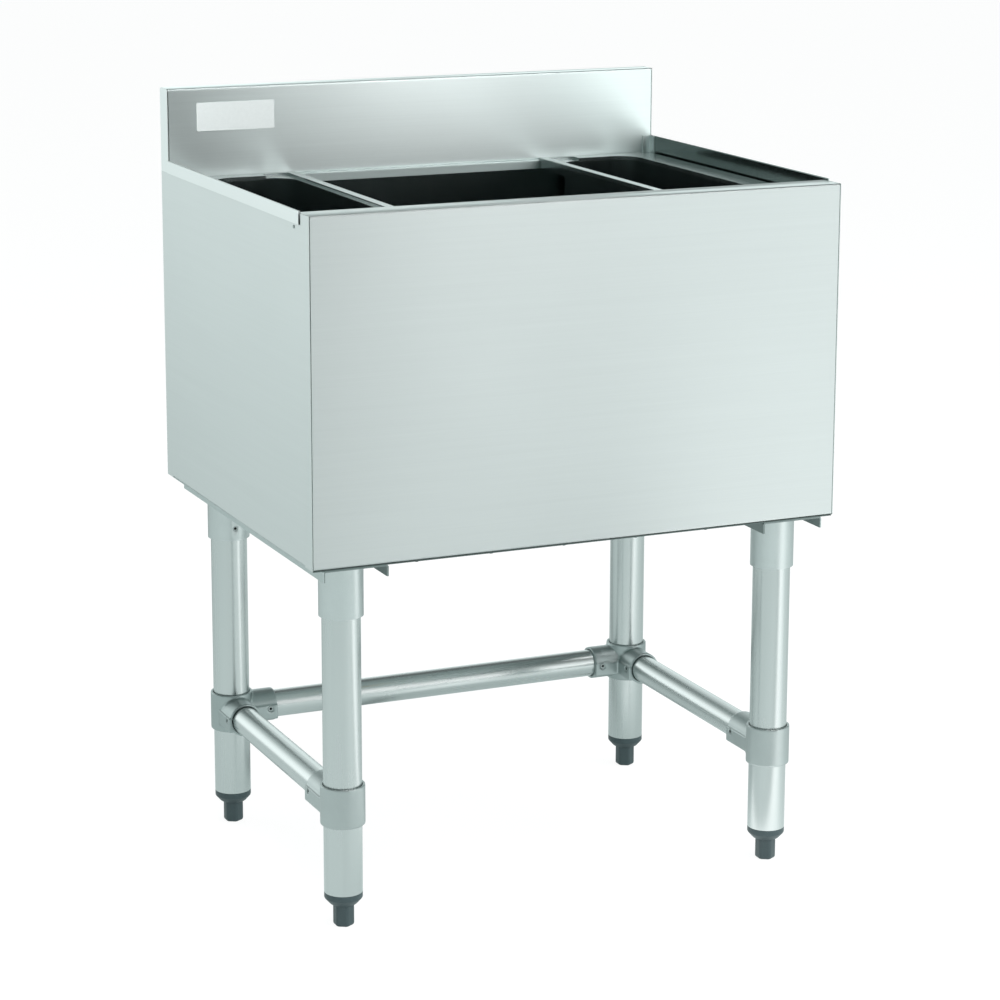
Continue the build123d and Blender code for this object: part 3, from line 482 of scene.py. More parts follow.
class Pattern:
    """A Geometry Nodes tree with named sizes, which turns points into plain mesh."""

    def __init__(self, name, sizes):
        self.name = name
        self.tree = bpy.data.node_groups.new(name, "GeometryNodeTree")
        self.tree.interface.new_socket("Points", in_out="INPUT", socket_type="NodeSocketGeometry")
        self.sizes = {}
        for label, size in sizes.items():
            kind = "NodeSocketInt" if isinstance(size, int) else "NodeSocketFloat"
            socket = self.tree.interface.new_socket(label, in_out="INPUT", socket_type=kind)
            self.sizes[socket.identifier] = size
        self.tree.interface.new_socket("Mesh", in_out="OUTPUT", socket_type="NodeSocketGeometry")
        self.given = {socket.name: socket for socket in self.tree.nodes.new("NodeGroupInput").outputs}

    def add(self, kind, settings, inputs, output=None):
        """Adds a node from its type, its settings and its inputs, and gives one of its outputs."""
        node = self.tree.nodes.new(kind)
        for name, value in settings.items():
            setattr(node, name, value)
        for key, value in inputs.items():
            socket = node.inputs[key] if isinstance(key, int) else open_socket(node.inputs, key)
            for part in value if isinstance(value, list) else [value]:
                if isinstance(part, bpy.types.NodeSocket):
                    self.tree.links.new(part, socket)
                else:
                    socket.default_value = part
        return open_socket(node.outputs, output) if node.outputs else None

    def times(self, size, factor):
        """A size times a number."""
        return self.add("ShaderNodeMath", {"operation": "MULTIPLY"}, {0: size, 1: factor})

    def plus(self, size, other):
        """A size and another."""
        return self.add("ShaderNodeMath", {"operation": "ADD"}, {0: size, 1: other})

    def less(self, size, other):
        """A size less another."""
        return self.add("ShaderNodeMath", {"operation": "SUBTRACT"}, {0: size, 1: other})

    def raised(self, shape, height):
        """A shape moved along its own axis."""
        lift = self.add("ShaderNodeCombineXYZ", {}, {"Z": height})
        return self.add("GeometryNodeTransform", {}, {"Geometry": shape, "Translation": lift})

    def post(self, sides, radius, bottom, length):
        """A post of so many sides that stands from a height."""
        shape = self.add("GeometryNodeMeshCylinder", {}, {
            "Vertices": sides,
            "Radius": radius,
            "Depth": length,
        })
        return self.raised(shape, self.plus(bottom, self.times(length, 0.5)))

    def joined(self, *shapes):
        """Several shapes as one."""
        return self.add("GeometryNodeJoinGeometry", {}, {"Geometry": list(shapes)})

    def on_points(self, points, shape, scale=1.0):
        """The shape at every point, turned to face as the point does."""
        facing = self.add("GeometryNodeInputNamedAttribute", {"data_type": "FLOAT_VECTOR"}, {
            "Name": "facing",
        }, "Attribute")
        turn = self.add("FunctionNodeAlignRotationToVector", {"axis": "Z"}, {
            "Vector": facing,
        }, "Rotation")
        size = self.add("ShaderNodeCombineXYZ", {}, {"X": scale, "Y": scale, "Z": scale})
        return self.add("GeometryNodeInstanceOnPoints", {}, {
            "Points": points,
            "Instance": shape,
            "Rotation": turn,
            "Scale": size,
        })

    def made(self, shape, material, places):
        """Ends the tree and runs it on places, each a point and the direction that it faces there."""
        solid = self.add("GeometryNodeRealizeInstances", {}, {"Geometry": shape})
        finished = self.add("GeometryNodeSetMaterial", {}, {"Geometry": solid, "Material": material})
        self.add("NodeGroupOutput", {}, {"Mesh": finished})
        mesh = bpy.data.meshes.new(self.name)
        mesh.from_pydata([point for point, facing in places], [], [])
        facings = mesh.attributes.new("facing", "FLOAT_VECTOR", "POINT")
        for entry, (point, facing) in zip(facings.data, places):
            entry.vector = facing
        piece = bpy.data.objects.new(self.name, mesh)
        bpy.context.collection.objects.link(piece)
        modifier = piece.modifiers.new(self.name, "NODES")
        modifier.node_group = self.tree
        for identifier, size in self.sizes.items():
            modifier[identifier] = size
        settle(piece)
        shape = bmesh.new()
        shape.from_mesh(piece.data)
        bmesh.ops.recalc_face_normals(shape, faces=shape.faces)
        shape.to_mesh(piece.data)
        shape.free()
        shade(piece, crease=35)
        return piece


RIVET_HEAD_RADIUS = 0.0032
RIVET_SHANK_RADIUS = 0.0016
RIVET_COUNT = 5
BLACKENED_TONE = (0.05, 0.055, 0.055)
dark_steel = cast("dark_steel", BLACKENED_TONE, roughness=0.35, tooth=0.1)
panel_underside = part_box("bottom_panel")[0].z
rivet_low, rivet_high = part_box("flange_rivets")
first_rivet = rivet_low.x + RIVET_HEAD_RADIUS
rivet_step = (rivet_high.x - RIVET_HEAD_RADIUS - first_rivet) / (RIVET_COUNT - 1)
rivet_y = (rivet_low.y + rivet_high.y) / 2
rivet_pattern = Pattern("flange_rivet_heads", {
    "Head Radius": RIVET_HEAD_RADIUS,
    "Head Height": panel_underside - rivet_low.z,
    "Shank Radius": RIVET_SHANK_RADIUS,
    "Shank Length": rivet_high.z - panel_underside,
})
given = rivet_pattern.given
ball = rivet_pattern.add("GeometryNodeMeshUVSphere", {}, {"Segments": 32, "Rings": 16, "Radius": 1.0})
dome_size = rivet_pattern.add("ShaderNodeCombineXYZ", {}, {
    "X": given["Head Radius"],
    "Y": given["Head Radius"],
    "Z": given["Head Height"],
})
dome = rivet_pattern.add("GeometryNodeTransform", {}, {"Geometry": ball, "Scale": dome_size})
shank = rivet_pattern.post(
    sides=24,
    radius=given["Shank Radius"],
    bottom=rivet_pattern.times(given["Shank Length"], -1),
    length=given["Shank Length"],
)
rivet = rivet_pattern.on_points(given["Points"], rivet_pattern.joined(dome, shank))
rivet_places = [
    ((first_rivet + i * rivet_step, rivet_y, panel_underside), (0, 0, -1)) for i in range(RIVET_COUNT)
]
flange_rivets = rivet_pattern.made(rivet, dark_steel, rivet_places)
belong(flange_rivets, dark_steel, "bin", "dark_screws", "flange_rivets")

HEM_RIVET_RADIUS = 0.002
HEM_RIVET_TAPER = 0.8
HEM_SHANK_RADIUS = 0.001
HEM_RIVET_TONE = (0.30, 0.34, 0.335)
hem_rivet_steel = cast("hem_rivet_steel", HEM_RIVET_TONE, roughness=0.35, tooth=0.1)
hem_low, hem_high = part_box("hem_rivets")
hem_rivet_pattern = Pattern("hem_rivet_heads", {
    "Head Radius": HEM_RIVET_RADIUS,
    "Head Height": hem_high.x - side_face,
    "Shank Radius": HEM_SHANK_RADIUS,
})
given = hem_rivet_pattern.given
flat_head = hem_rivet_pattern.add("GeometryNodeMeshCone", {}, {
    "Vertices": 32,
    "Radius Top": hem_rivet_pattern.times(given["Head Radius"], HEM_RIVET_TAPER),
    "Radius Bottom": given["Head Radius"],
    "Depth": given["Head Height"],
})
short_shank = hem_rivet_pattern.post(
    sides=16,
    radius=given["Shank Radius"],
    bottom=hem_rivet_pattern.times(given["Head Height"], -0.5),
    length=given["Head Height"],
)
hem_rivet = hem_rivet_pattern.on_points(
    given["Points"], hem_rivet_pattern.joined(flat_head, short_shank)
)
hem_rivet_places = [
    ((side * side_face, (hem_low.y + hem_high.y) / 2, (hem_low.z + hem_high.z) / 2), (side, 0, 0))
    for side in (-1, 1)
]
hem_rivets = hem_rivet_pattern.made(hem_rivet, hem_rivet_steel, hem_rivet_places)
belong(hem_rivets, hem_rivet_steel, "bin", "dark_screws", "hem_rivets")


# Ice liner and bottle wells: drawn and welded stainless tubs, polished inside, so that they look dark
# where they mirror each other; their steel is also painted darker than the shell's, a painted shade.
# The liner's flange lies under the ledges, and the wells rest on these.
TUB_BANDS = (2, 60)
TUB_SCRATCHES = (4, 300)
# The tubs' tone is darker than the shell's: painted shade for their deep insides.
TUB_SHADE_TONE = (0.46, 0.52, 0.515)
TUB_ROUGHNESS = 0.18
FLANGE_TONE = (0.52, 0.56, 0.555)
FLANGE_BAND = 0.0045
FLANGE_GRIND = 0.06
tub_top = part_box("left_bottle_well")[1].z - FLANGE_BAND


def brushed_flange(finish, colour, roughness):
    """The flange and the hem's top keep the sheet's brushed look, and the tub below is polished."""
    on_flange = finish.place("Z") > tub_top
    return finish.tint(on_flange, colour, FLANGE_TONE + (1,)), roughness + FLANGE_GRIND * on_flange


tub_steel = brushed("tub_steel", "Z", TUB_BANDS, TUB_SCRATCHES, TUB_SHADE_TONE, TUB_ROUGHNESS)
well_steel = brushed(
    "well_steel", "Z", TUB_BANDS, TUB_SCRATCHES, TUB_SHADE_TONE, TUB_ROUGHNESS, zones=brushed_flange
)
dress(tub_steel, "ice_liner", "drain_strainer")
dress(well_steel, "left_bottle_well", "right_bottle_well")


# Insulation: foam that was poured between the shell and the liner.
# It is closed in on every side once the bin is together.
def matt(name, dark, light, features, roughness, tooth):
    """A finish that isn't metal: two shades in a cloudy mix, and a fine tooth."""
    finish = Finish(name)
    clouds = finish.grain((features,) * 3, detail=3.0)
    return finish.close(finish.add("BsdfPrincipled", {}, {
        "Base Color": finish.tint(clouds, dark + (1,), light + (1,)),
        "Roughness": roughness + CLOUD_ROUGHNESS * (clouds - 0.5),
        "Normal": finish.add("Bump", {}, {"Strength": tooth, "Distance": 0.0003, "Height": clouds}),
    }))


FOAM_SHADE = (0.72, 0.62, 0.34)
FOAM_LIGHT = (0.86, 0.78, 0.52)
dress(matt("foam", FOAM_SHADE, FOAM_LIGHT, features=700, roughness=0.85, tooth=0.5), "insulation")


# Drain: a cast brass body on rubber rings, held by a locknut under the bottom panel.
# Its tailpiece is turned down and cut with a pipe thread, which a hose or an elbow screws onto.
def skin(name, rings, hollow):
    """A closed mesh over a stack of rings: capped at both ends, or joined end to end round a bore."""
    sides = len(rings[0])
    shape = bmesh.new()
    rows = [[shape.verts.new(point) for point in level] for level in rings]
    pairs = list(zip(rows, rows[1:])) + ([(rows[-1], rows[0])] if hollow else [])
    for low, high in pairs:
        for i in range(sides):
            j = (i + 1) % sides
            shape.faces.new((low[i], low[j], high[j], high[i]))
    if not hollow:
        shape.faces.new(rows[0])
        shape.faces.new(rows[-1])
    bmesh.ops.recalc_face_normals(shape, faces=shape.faces)
    mesh = bpy.data.meshes.new(name)
    shape.to_mesh(mesh)
    shape.free()
    piece = bpy.data.objects.new(name, mesh)
    bpy.context.collection.objects.link(piece)
    shade(piece, crease=32)
    return piece


def ring(centre, height, reach, sides):
    """One level ring of points. Its reach is a radius, or gives the radius at an angle."""
    points = []
    for i in range(sides):
        angle = 2 * math.pi * i / sides
        radius = reach(angle) if callable(reach) else reach
        x = centre[0] + radius * math.cos(angle)
        y = centre[1] + radius * math.sin(angle)
        points.append((x, y, height))
    return points


RINGS_PER_TURN = 6


def thread(centre, bottom, top, root, crest, pitch, sides):
    """Rings of a screw thread, which fades in and out at its ends."""
    steps = max(2, round((top - bottom) / pitch * RINGS_PER_TURN))
    rings = []
    for step in range(steps + 1):
        height = bottom + (top - bottom) * step / steps
        fade = min(1.0, (height - bottom) / pitch, (top - height) / pitch)

        def reach(angle, height=height, fade=fade):
            turn = (height / pitch - angle / (2 * math.pi)) % 1.0
            return root + (crest - root) * fade * (1 - abs(2 * turn - 1))

        rings.append(ring(centre, height, reach, sides))
    return rings


DRAIN_BORE = 0.0133
DRAIN_FLANGE = 0.038
DRAIN_NECK = 0.019
DRAIN_SPIGOT = 0.0167
DRAIN_ROOT = 0.0156
DRAIN_PITCH = 0.0022
DRAIN_RECESS = 0.0305
DRAIN_DISH = 0.0270
DRAIN_SIDES = 72
DRAIN_FLANGE_THICKNESS = 0.004
DRAIN_SPIGOT_LENGTH = 0.038
DRAIN_SEAT_DEPTH = 0.002
DRAIN_DISH_DEPTH = 0.0012
DRAIN_DISH_EDGE = 0.0008
DRAIN_DISH_FALL = 0.0003
DRAIN_MOUTH = 0.002
DRAIN_ROUNDING = 0.001
DRAIN_ROUNDING_STEPS = 4
DRAIN_CHAMFER = 0.0005
DRAIN_LIP = 0.0003
NECK_TAPER_START = 0.0001
NECK_TAPER_END = 0.0006
DRAIN_AXIS = (0, 0)
drain_low, drain_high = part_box("drain_body")
brim_bottom = drain_high.z - DRAIN_FLANGE_THICKNESS
seat = drain_high.z - DRAIN_SEAT_DEPTH
dish = seat - DRAIN_DISH_DEPTH
spigot_top = drain_low.z + DRAIN_SPIGOT_LENGTH
drain_outline = [
    (DRAIN_NECK, spigot_top + NECK_TAPER_END),
    (DRAIN_NECK, brim_bottom),
    (DRAIN_FLANGE - DRAIN_CHAMFER, brim_bottom),
    (DRAIN_FLANGE, brim_bottom + DRAIN_CHAMFER),
]
for step in range(DRAIN_ROUNDING_STEPS + 1):
    turn = math.pi / 2 * step / DRAIN_ROUNDING_STEPS
    drain_outline.append((
        DRAIN_FLANGE - DRAIN_ROUNDING + DRAIN_ROUNDING * math.cos(turn),
        drain_high.z - DRAIN_ROUNDING + DRAIN_ROUNDING * math.sin(turn),
    ))
drain_outline += [
    (DRAIN_RECESS + DRAIN_LIP, drain_high.z),
    (DRAIN_RECESS, drain_high.z - DRAIN_LIP),
    (DRAIN_RECESS, seat),
    (DRAIN_DISH, seat),
    (DRAIN_DISH - DRAIN_DISH_EDGE, dish),
    (DRAIN_BORE + DRAIN_MOUTH, dish - DRAIN_DISH_FALL),
    (DRAIN_BORE, dish - DRAIN_MOUTH),
    (DRAIN_BORE, drain_low.z),
    (DRAIN_ROOT, drain_low.z),
]
drain_rings = [ring(DRAIN_AXIS, height, radius, DRAIN_SIDES) for radius, height in drain_outline]
drain_rings += thread(
    DRAIN_AXIS,
    drain_low.z + DRAIN_CHAMFER,
    spigot_top,
    DRAIN_ROOT,
    DRAIN_SPIGOT,
    DRAIN_PITCH,
    DRAIN_SIDES,
)
neck_foot = ring(DRAIN_AXIS, spigot_top + NECK_TAPER_START, DRAIN_NECK - DRAIN_CHAMFER, DRAIN_SIDES)
drain_rings.append(neck_foot)

TARNISH_SPOTS = (60, 60, 60)
TARNISHED_BRASS = (0.46, 0.34, 0.16, 1)
BRIGHT_BRASS = (0.72, 0.56, 0.28, 1)
BRASS_ROUGHNESS = 0.28
TARNISH_ROUGHNESS = 0.25
brass = Finish("drain_brass")
tarnish = brass.grain(TARNISH_SPOTS, detail=5.0)
drain_brass = brass.close(brass.add("BsdfPrincipled", {}, {
    "Base Color": brass.tint(tarnish, TARNISHED_BRASS, BRIGHT_BRASS),
    "Metallic": 1.0,
    "Roughness": BRASS_ROUGHNESS + TARNISH_ROUGHNESS * tarnish,
    "Normal": brass.add("Bump", {}, {"Strength": 0.2, "Distance": 0.0002, "Height": tarnish}),
}))
drain = skin("threaded_drain", drain_rings, hollow=True)
belong(drain, drain_brass, "bin", "drain_brass", "drain_body")
dress(drain_brass, "drain_locknut")

RUBBER_SHADE = (0.012, 0.012, 0.012)
RUBBER_LIGHT = (0.03, 0.03, 0.03)
rubber = matt("rubber", RUBBER_SHADE, RUBBER_LIGHT, features=120, roughness=0.65, tooth=0.2)
dress(rubber, "drain_gasket", "drain_washer")


# Channel bolts: zinc plated steel, with a hexagon head on a washer face, three along each channel.
# They pass up through the channel and the bottom panel into weld nuts in the foam.
BOLT_FLATS = 0.013
BOLT_FACE_RADIUS = 0.0062
BOLT_FACE_HEIGHT = 0.0005
BOLT_SHANK_RADIUS = 0.004
BOLT_PITCH = 0.095
BOLT_CROWN_SHARE = 0.16
BOLT_CROWN_TAPER = 0.88
BOLT_ROUGHNESS = 0.38
corners = ("front_left", "front_right", "back_left", "back_right")
leg_axes = {}
for corner in corners:
    low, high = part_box(f"{corner}_leg")
    leg_axes[corner] = ((low.x + high.x) / 2, (low.y + high.y) / 2)
bolt_low, bolt_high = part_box("channel_bolts")
web_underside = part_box("left_leg_channel")[1].z - CHANNEL_SHEET
bolt_middle = (bolt_low.y + bolt_high.y) / 2
bolt_pattern = Pattern("channel_bolt_heads", {
    "Corner Radius": BOLT_FLATS / math.sqrt(3),
    "Head Height": web_underside - bolt_low.z,
    "Face Radius": BOLT_FACE_RADIUS,
    "Face Height": BOLT_FACE_HEIGHT,
    "Shank Radius": BOLT_SHANK_RADIUS,
    "Shank Length": bolt_high.z - web_underside,
})
given = bolt_pattern.given
crown_height = bolt_pattern.times(given["Head Height"], BOLT_CROWN_SHARE)
crown_bottom = bolt_pattern.less(given["Head Height"], crown_height)
hexagon_height = bolt_pattern.less(crown_bottom, given["Face Height"])
crown = bolt_pattern.add("GeometryNodeMeshCone", {}, {
    "Vertices": 6,
    "Radius Top": bolt_pattern.times(given["Corner Radius"], BOLT_CROWN_TAPER),
    "Radius Bottom": given["Corner Radius"],
    "Depth": crown_height,
})
hexagon = bolt_pattern.post(
    sides=6,
    radius=given["Corner Radius"],
    bottom=given["Face Height"],
    length=hexagon_height,
)
washer_face = bolt_pattern.post(
    sides=36,
    radius=given["Face Radius"],
    bottom=0.0,
    length=given["Face Height"],
)
bolt_shank = bolt_pattern.post(
    sides=24,
    radius=given["Shank Radius"],
    bottom=bolt_pattern.times(given["Shank Length"], -1),
    length=given["Shank Length"],
)
bolt = bolt_pattern.joined(bolt_pattern.raised(crown, crown_bottom), hexagon, washer_face, bolt_shank)
bolt_places = [
    ((leg_axes[corner][0], bolt_middle + step * BOLT_PITCH, web_underside), (0, 0, -1))
    for corner in ("front_left", "front_right")
    for step in (-1, 0, 1)
]
bolt_zinc = spangled("bolt_zinc", ZINC_TONE, BOLT_ROUGHNESS)
bolts = bolt_pattern.on_points(given["Points"], bolt)
channel_bolts = bolt_pattern.made(bolts, bolt_zinc, bolt_places)
belong(channel_bolts, bolt_zinc, "bin", "zinc_steel", "channel_bolts")


# Leg sockets: steel cups on square plates, joined by a weld that runs right round.
# The plates lie under the two channels, and a set screw holds each leg in its cup.
MERGE_DISTANCE = 1e-6


def merged_copy(name, node):
    """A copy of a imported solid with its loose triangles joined."""
    shape = bmesh.new()
    shape.from_mesh(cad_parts[node].data)
    bmesh.ops.remove_doubles(shape, verts=shape.verts, dist=MERGE_DISTANCE)
    mesh = bpy.data.meshes.new(name)
    shape.to_mesh(mesh)
    shape.free()
    piece = bpy.data.objects.new(name, mesh)
    bpy.context.collection.objects.link(piece)
    return piece


SOCKET_EDGE = 0.0005
SOCKET_EDGE_ANGLE = 50
SOCKET_TONE = (0.61, 0.65, 0.645)
socket_steel = cast("socket_steel", SOCKET_TONE, roughness=0.34, tooth=0.06)
for corner in corners:
    socket = merged_copy(f"{corner}_welded_socket", f"{corner}_leg_socket")
    edge = socket.modifiers.new("edge", "BEVEL")
    edge.width = SOCKET_EDGE
    edge.segments = 2
    edge.limit_method = "ANGLE"
    edge.angle_limit = math.radians(SOCKET_EDGE_ANGLE)
    settle(socket)
    shade(socket, crease=40)
    socket.data.materials.clear()
    belong(socket, socket_steel, "bin", "socket_steel", f"{corner}_leg_socket")

SOCKET_PLATE_THICKNESS = 0.003
WELD_RING_RADIUS = 0.0241
BEAD_COUNT = 62
BEAD_RADIUS = 0.0016
BEAD_DROP = 0.0004
BEAD_LEAST_SHARE = 0.85
BEAD_GREATEST_SHARE = 1.12
BEAD_SEED = 11
WELD_TONE = (0.42, 0.45, 0.44)
bead_pattern = Pattern("socket_weld_beads", {
    "Ring Radius": WELD_RING_RADIUS,
    "Bead Count": BEAD_COUNT,
    "Bead Radius": BEAD_RADIUS,
    "Least Share": BEAD_LEAST_SHARE,
    "Greatest Share": BEAD_GREATEST_SHARE,
    "Seed": BEAD_SEED,
})
given = bead_pattern.given
weld_ring = bead_pattern.add(
    "GeometryNodeMeshCircle", {}, {"Vertices": given["Bead Count"], "Radius": given["Ring Radius"]}
)
rings_in_place = bead_pattern.on_points(given["Points"], weld_ring)
bead_points = bead_pattern.add("GeometryNodeRealizeInstances", {}, {"Geometry": rings_in_place})
bead = bead_pattern.add(
    "GeometryNodeMeshUVSphere", {}, {"Segments": 12, "Rings": 8, "Radius": given["Bead Radius"]}
)
bead_share = bead_pattern.add("FunctionNodeRandomValue", {"data_type": "FLOAT"}, {
    "Min": given["Least Share"],
    "Max": given["Greatest Share"],
    "Seed": given["Seed"],
})
beads = bead_pattern.on_points(bead_points, bead, bead_share)
plate_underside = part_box("front_left_leg_socket")[1].z - SOCKET_PLATE_THICKNESS
bead_places = [((*leg_axes[corner], plate_underside - BEAD_DROP), (0, 0, 1)) for corner in corners]
weld_steel = cast("weld_steel", WELD_TONE, roughness=0.4, tooth=0.2)
weld_beads = bead_pattern.made(beads, weld_steel, bead_places)
belong(weld_beads, weld_steel, "bin", "socket_steel")


# Legs: welded steel tube, ground with belts that leave soft streaks along it.
# The top of each leg goes up into its socket.
TUBE_BANDS = (1, 70)
TUBE_STREAKS = (2, 240)
TUBE_TONE = (0.62, 0.65, 0.645)
TUBE_ROUGHNESS = 0.27
LEG_RADIUS = 0.02065
leg_steel = brushed("leg_steel", "Z", TUBE_BANDS, TUBE_STREAKS, TUBE_TONE, TUBE_ROUGHNESS)
dress(leg_steel, *(f"{corner}_leg" for corner in corners))


# Set screws: plated steel with a hexagonal recess, whose bottom is painted black as painted shade.
# One holds each leg in its socket, and others clamp the rails in their fittings.
SCREW_TONE = (0.42, 0.46, 0.455, 1)
# The recess's bottom is painted near black: painted shade.
RECESS_SHADE_TONE = (0.02, 0.022, 0.022, 1)
SCREW_ROUGHNESS = 0.34
PLATING_SPECKS = (400, 400, 400)
PLATING_ROUGHNESS = 0.12
screw_finish = Finish("screw_steel")
recess = screw_finish.add("Attribute", {"attribute_name": "recess"}, {}, "Fac")
plating = screw_finish.grain(PLATING_SPECKS, detail=2.0)
screw_steel = screw_finish.close(screw_finish.add("BsdfPrincipled", {}, {
    "Base Color": screw_finish.tint(recess, SCREW_TONE, RECESS_SHADE_TONE),
    "Metallic": 1.0,
    "Roughness": SCREW_ROUGHNESS + PLATING_ROUGHNESS * (plating - 0.5),
    "Normal": screw_finish.add("Bump", {}, {"Strength": 0.05, "Distance": 0.0002, "Height": plating}),
}))
SCREW_RADIUS = 0.0032
SCREW_RECESS_FLATS = 0.0032
SCREW_RECESS_DEPTH = 0.002
SOCKET_SCREW_LENGTH = 0.0025
SOCKET_SCREW_RISE = 0.014


def set_screws(name, length, places, node):
    """Set screws in their places, each a screw's tip and the direction that it faces."""
    pattern = Pattern(name, {
        "Radius": SCREW_RADIUS,
        "Length": length,
        "Recess Radius": SCREW_RECESS_FLATS / math.sqrt(3),
        "Recess Depth": SCREW_RECESS_DEPTH,
    })
    given = pattern.given
    rim = pattern.add("GeometryNodeCurvePrimitiveCircle", {}, {
        "Resolution": 36,
        "Radius": given["Radius"],
    })
    key = pattern.add("GeometryNodeCurvePrimitiveCircle", {}, {
        "Resolution": 6,
        "Radius": given["Recess Radius"],
    })
    face = pattern.add("GeometryNodeFillCurve", {}, {"Curve": pattern.joined(rim, key)})
    floor_height = pattern.less(given["Length"], given["Recess Depth"])
    lower_face = pattern.raised(face, floor_height)
    wall = pattern.add("GeometryNodeExtrudeMesh", {"mode": "FACES"}, {
        "Mesh": lower_face,
        "Offset": (0, 0, 1),
        "Offset Scale": given["Recess Depth"],
        "Individual": False,
    }, "Mesh")
    open_collar = pattern.joined(wall, lower_face)
    collar = pattern.add("GeometryNodeMergeByDistance", {}, {"Geometry": open_collar})
    # The body under the recess, whose top is the recess's bottom, carries the painted shade.
    dark_tip = pattern.add("GeometryNodeStoreNamedAttribute", {"data_type": "FLOAT", "domain": "FACE"}, {
        "Geometry": pattern.post(sides=36, radius=given["Radius"], bottom=0.0, length=floor_height),
        "Name": "recess",
        "Value": 1.0,
    })
    screw = pattern.on_points(given["Points"], pattern.joined(collar, dark_tip))
    belong(pattern.made(screw, screw_steel, places), screw_steel, "bin", "dark_screws", node)


socket_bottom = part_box("front_left_leg_socket")[0].z
socket_screw_places = []
for corner in corners:
    leg_x, leg_y = leg_axes[corner]
    inward = 1 if corner.startswith("front") else -1
    screw_tip = (leg_x, leg_y + inward * LEG_RADIUS, socket_bottom + SOCKET_SCREW_RISE)
    socket_screw_places.append((screw_tip, (0, inward, 0)))
set_screws("socket_screws", SOCKET_SCREW_LENGTH, socket_screw_places, "socket_set_screws")


# Rail fittings: cast aluminium, with rounded edges and the soft corners that a mould leaves.
# Each slides over its leg and has a flat pad, where a set screw clamps a rail. The back pair is painted
# darker, a painted shade.
CAST_VOXEL = 0.0009
CAST_SMOOTHING = 8
FRONT_CAST_TONE = (0.51, 0.55, 0.545)
# The back pair's tone is a darker copy of the front pair's: painted shade.
SHADED_CAST_TONE = (0.43, 0.48, 0.475)
CAST_ROUGHNESS = 0.40
CAST_TOOTH = 0.25
front_cast = cast("fresh_cast_fitting", FRONT_CAST_TONE, CAST_ROUGHNESS, CAST_TOOTH)
shaded_cast = cast("shaded_cast_fitting", SHADED_CAST_TONE, CAST_ROUGHNESS, CAST_TOOTH)
for corner in corners:
    cast_metal = front_cast if corner.startswith("front") else shaded_cast
    fitting = merged_copy(f"{corner}_cast_fitting", f"{corner}_rail_fitting")
    remesh = fitting.modifiers.new("remesh", "REMESH")
    remesh.mode = "VOXEL"
    remesh.voxel_size = CAST_VOXEL
    smooth = fitting.modifiers.new("smooth", "SMOOTH")
    smooth.factor = 0.5
    smooth.iterations = CAST_SMOOTHING
    settle(fitting)
    fitting.data.shade_smooth()
    fitting.data.materials.clear()
    belong(fitting, cast_metal, "bin", "cast_fitting", f"{corner}_rail_fitting")


# Rails: the same belt-ground tube as the legs, but thinner, one on each side and one at the back.
# Their ends go into the fittings, where set screws hold them.
side_rail_steel = brushed("side_rail_steel", "Y", TUBE_BANDS, TUBE_STREAKS, TUBE_TONE, TUBE_ROUGHNESS)
back_rail_steel = brushed("back_rail_steel", "X", TUBE_BANDS, TUBE_STREAKS, TUBE_TONE, TUBE_ROUGHNESS)
dress(side_rail_steel, "left_side_rail", "right_side_rail")
dress(back_rail_steel, "back_rail")
RAIL_RADIUS = 0.0159
RAIL_SCREW_LENGTH = 0.004
FRONT_SCREW_REACH = 0.051
BACK_SCREW_REACH = 0.041
rail_low, rail_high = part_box("back_rail")
rail_height = (rail_low.z + rail_high.z) / 2
rail_screw_places = []
for corner in corners:
    leg_x, leg_y = leg_axes[corner]
    reach = FRONT_SCREW_REACH if corner.startswith("front") else -BACK_SCREW_REACH
    rail_screw_places.append(((leg_x - RAIL_RADIUS, leg_y + reach, rail_height), (-1, 0, 0)))
    if corner.startswith("back"):
        inward = -math.copysign(BACK_SCREW_REACH, leg_x)
        rail_screw_places.append(((leg_x + inward, leg_y - RAIL_RADIUS, rail_height), (0, -1, 0)))
set_screws("rail_screws", RAIL_SCREW_LENGTH, rail_screw_places, "rail_set_screws")


# Foot inserts: plugs moulded in dark plastic, with a ring that covers the tube's end and a taper below.
# Each is driven into a leg and takes the thread of a foot.
FOOT_SIDES = 60
PLUG_RADIUS = 0.01895
RING_RADIUS = 0.02065
RING_HEIGHT = 0.0065
TAPER_RADIUS = 0.0155
INSERT_BORE = 0.00805
INSERT_LEAD = 0.001
EASE = 0.0007
PLASTIC_SHADE = (0.037, 0.061, 0.066)
PLASTIC_LIGHT = (0.058, 0.087, 0.094)
foot_plastic = matt(
    "foot_plastic", PLASTIC_SHADE, PLASTIC_LIGHT, features=900, roughness=0.42, tooth=0.15
)
for corner in corners:
    low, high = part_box(f"{corner}_foot_insert")
    tube_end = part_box(f"{corner}_leg")[0].z
    ring_bottom = tube_end - RING_HEIGHT
    insert_outline = [
        (INSERT_BORE, high.z),
        (INSERT_BORE, low.z + EASE),
        (INSERT_BORE + EASE, low.z),
        (TAPER_RADIUS - EASE, low.z),
        (TAPER_RADIUS, low.z + EASE),
        (RING_RADIUS - EASE, ring_bottom - EASE),
        (RING_RADIUS - EASE / 3, ring_bottom),
        (RING_RADIUS, ring_bottom + EASE),
        (RING_RADIUS, tube_end - EASE / 2),
        (RING_RADIUS - EASE / 2, tube_end),
        (PLUG_RADIUS, tube_end),
        (PLUG_RADIUS, high.z - 2 * INSERT_LEAD),
        (PLUG_RADIUS - INSERT_LEAD, high.z),
    ]
    rings = [ring(leg_axes[corner], height, radius, FOOT_SIDES) for radius, height in insert_outline]
    insert = skin(f"{corner}_moulded_insert", rings, hollow=True)
    belong(insert, foot_plastic, "bin", "foot_plastic", f"{corner}_foot_insert")


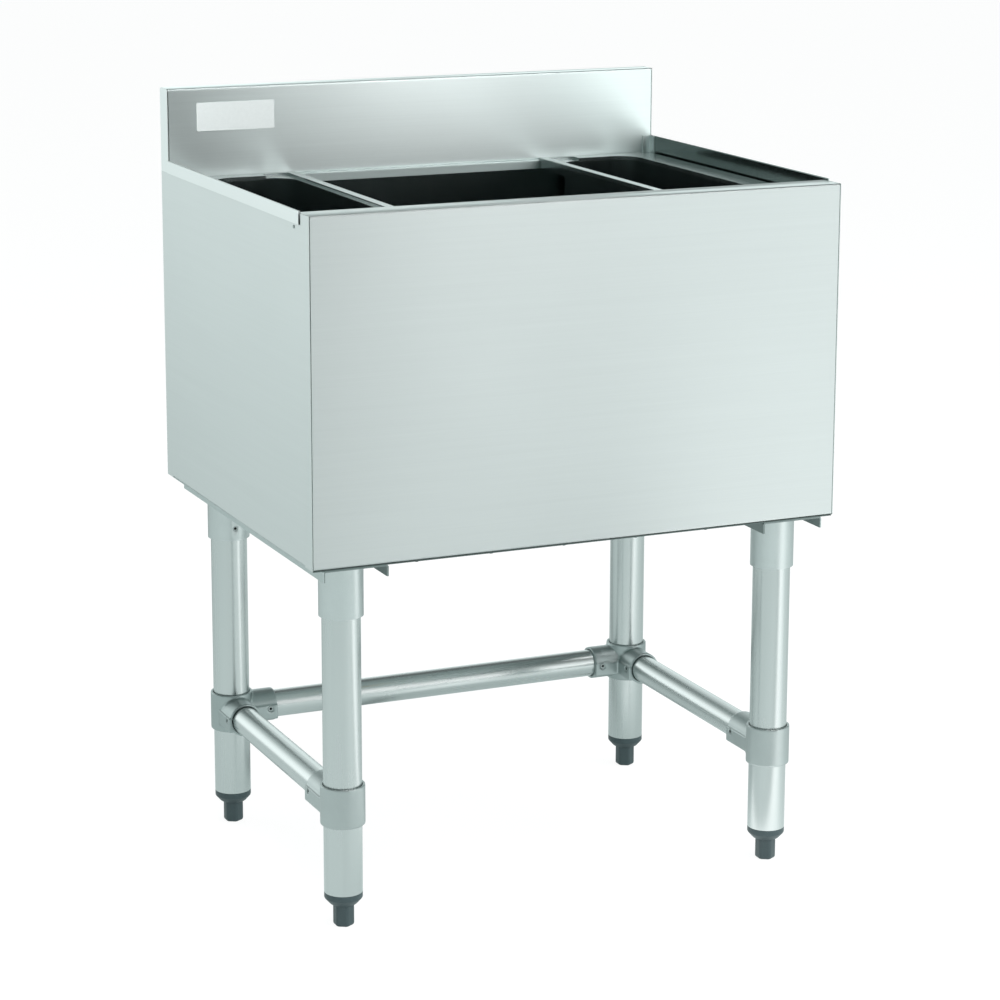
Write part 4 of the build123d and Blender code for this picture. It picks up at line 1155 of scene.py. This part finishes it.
# Feet: six-sided grips with soft corners, moulded in the same plastic, each on a threaded stem.
# Turning a foot raises or lowers its corner of the bin.
GRIP_FLAT = 0.0103
GRIP_CORNER = 0.0112
GRIP_HEIGHT = 0.0253
GRIP_ROUNDING = 0.003
GRIP_ROUNDING_STEPS = 5
GRIP_EASE_START = 0.0008
GRIP_EASE_END = 0.0002
GRIP_EASE = 0.0006
STEM_ROOT = 0.0071
STEM_CREST = 0.00795
STEM_PITCH = 0.0025
STEM_NECK = 0.0004
STEM_POINT = 0.001


def grip(inset):
    """The reach of a hexagon with its corners rounded to a circle, drawn in by an inset."""
    def reach(angle):
        off = (angle + math.pi / 6) % (math.pi / 3) - math.pi / 6
        return min(GRIP_FLAT / math.cos(off), GRIP_CORNER) - inset
    return reach


for corner in corners:
    stem_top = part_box(f"{corner}_foot")[1].z
    axis = leg_axes[corner]
    rings = []
    for step in range(GRIP_ROUNDING_STEPS + 1):
        turn = math.pi / 2 * step / GRIP_ROUNDING_STEPS
        inset = GRIP_ROUNDING * (1 - math.sin(turn))
        rings.append(ring(axis, GRIP_ROUNDING * (1 - math.cos(turn)), grip(inset), FOOT_SIDES))
    rings.append(ring(axis, GRIP_HEIGHT - GRIP_EASE_START, grip(0), FOOT_SIDES))
    rings.append(ring(axis, GRIP_HEIGHT - GRIP_EASE_END, grip(GRIP_EASE), FOOT_SIDES))
    rings.append(ring(axis, GRIP_HEIGHT, STEM_ROOT + STEM_NECK, FOOT_SIDES))
    rings += thread(
        axis,
        GRIP_HEIGHT + STEM_NECK,
        stem_top - STEM_POINT,
        STEM_ROOT,
        STEM_CREST,
        STEM_PITCH,
        FOOT_SIDES,
    )
    rings.append(ring(axis, stem_top, STEM_ROOT - STEM_POINT, FOOT_SIDES))
    moulded_foot = skin(f"{corner}_threaded_foot", rings, hollow=False)
    belong(moulded_foot, foot_plastic, f"{corner}_foot_screw", "foot_plastic", f"{corner}_foot")


# Plate on the backsplash: a bare pale plate, glued to the sheet near its left end.
# It is anodised aluminium with a smooth matt face.
PLATE_SHADE = (0.74, 0.77, 0.765)
PLATE_LIGHT = (0.80, 0.83, 0.825)
bare_plate = matt("bare_plate", PLATE_SHADE, PLATE_LIGHT, features=300, roughness=0.35, tooth=0.02)
dress(bare_plate, "blank_plate")
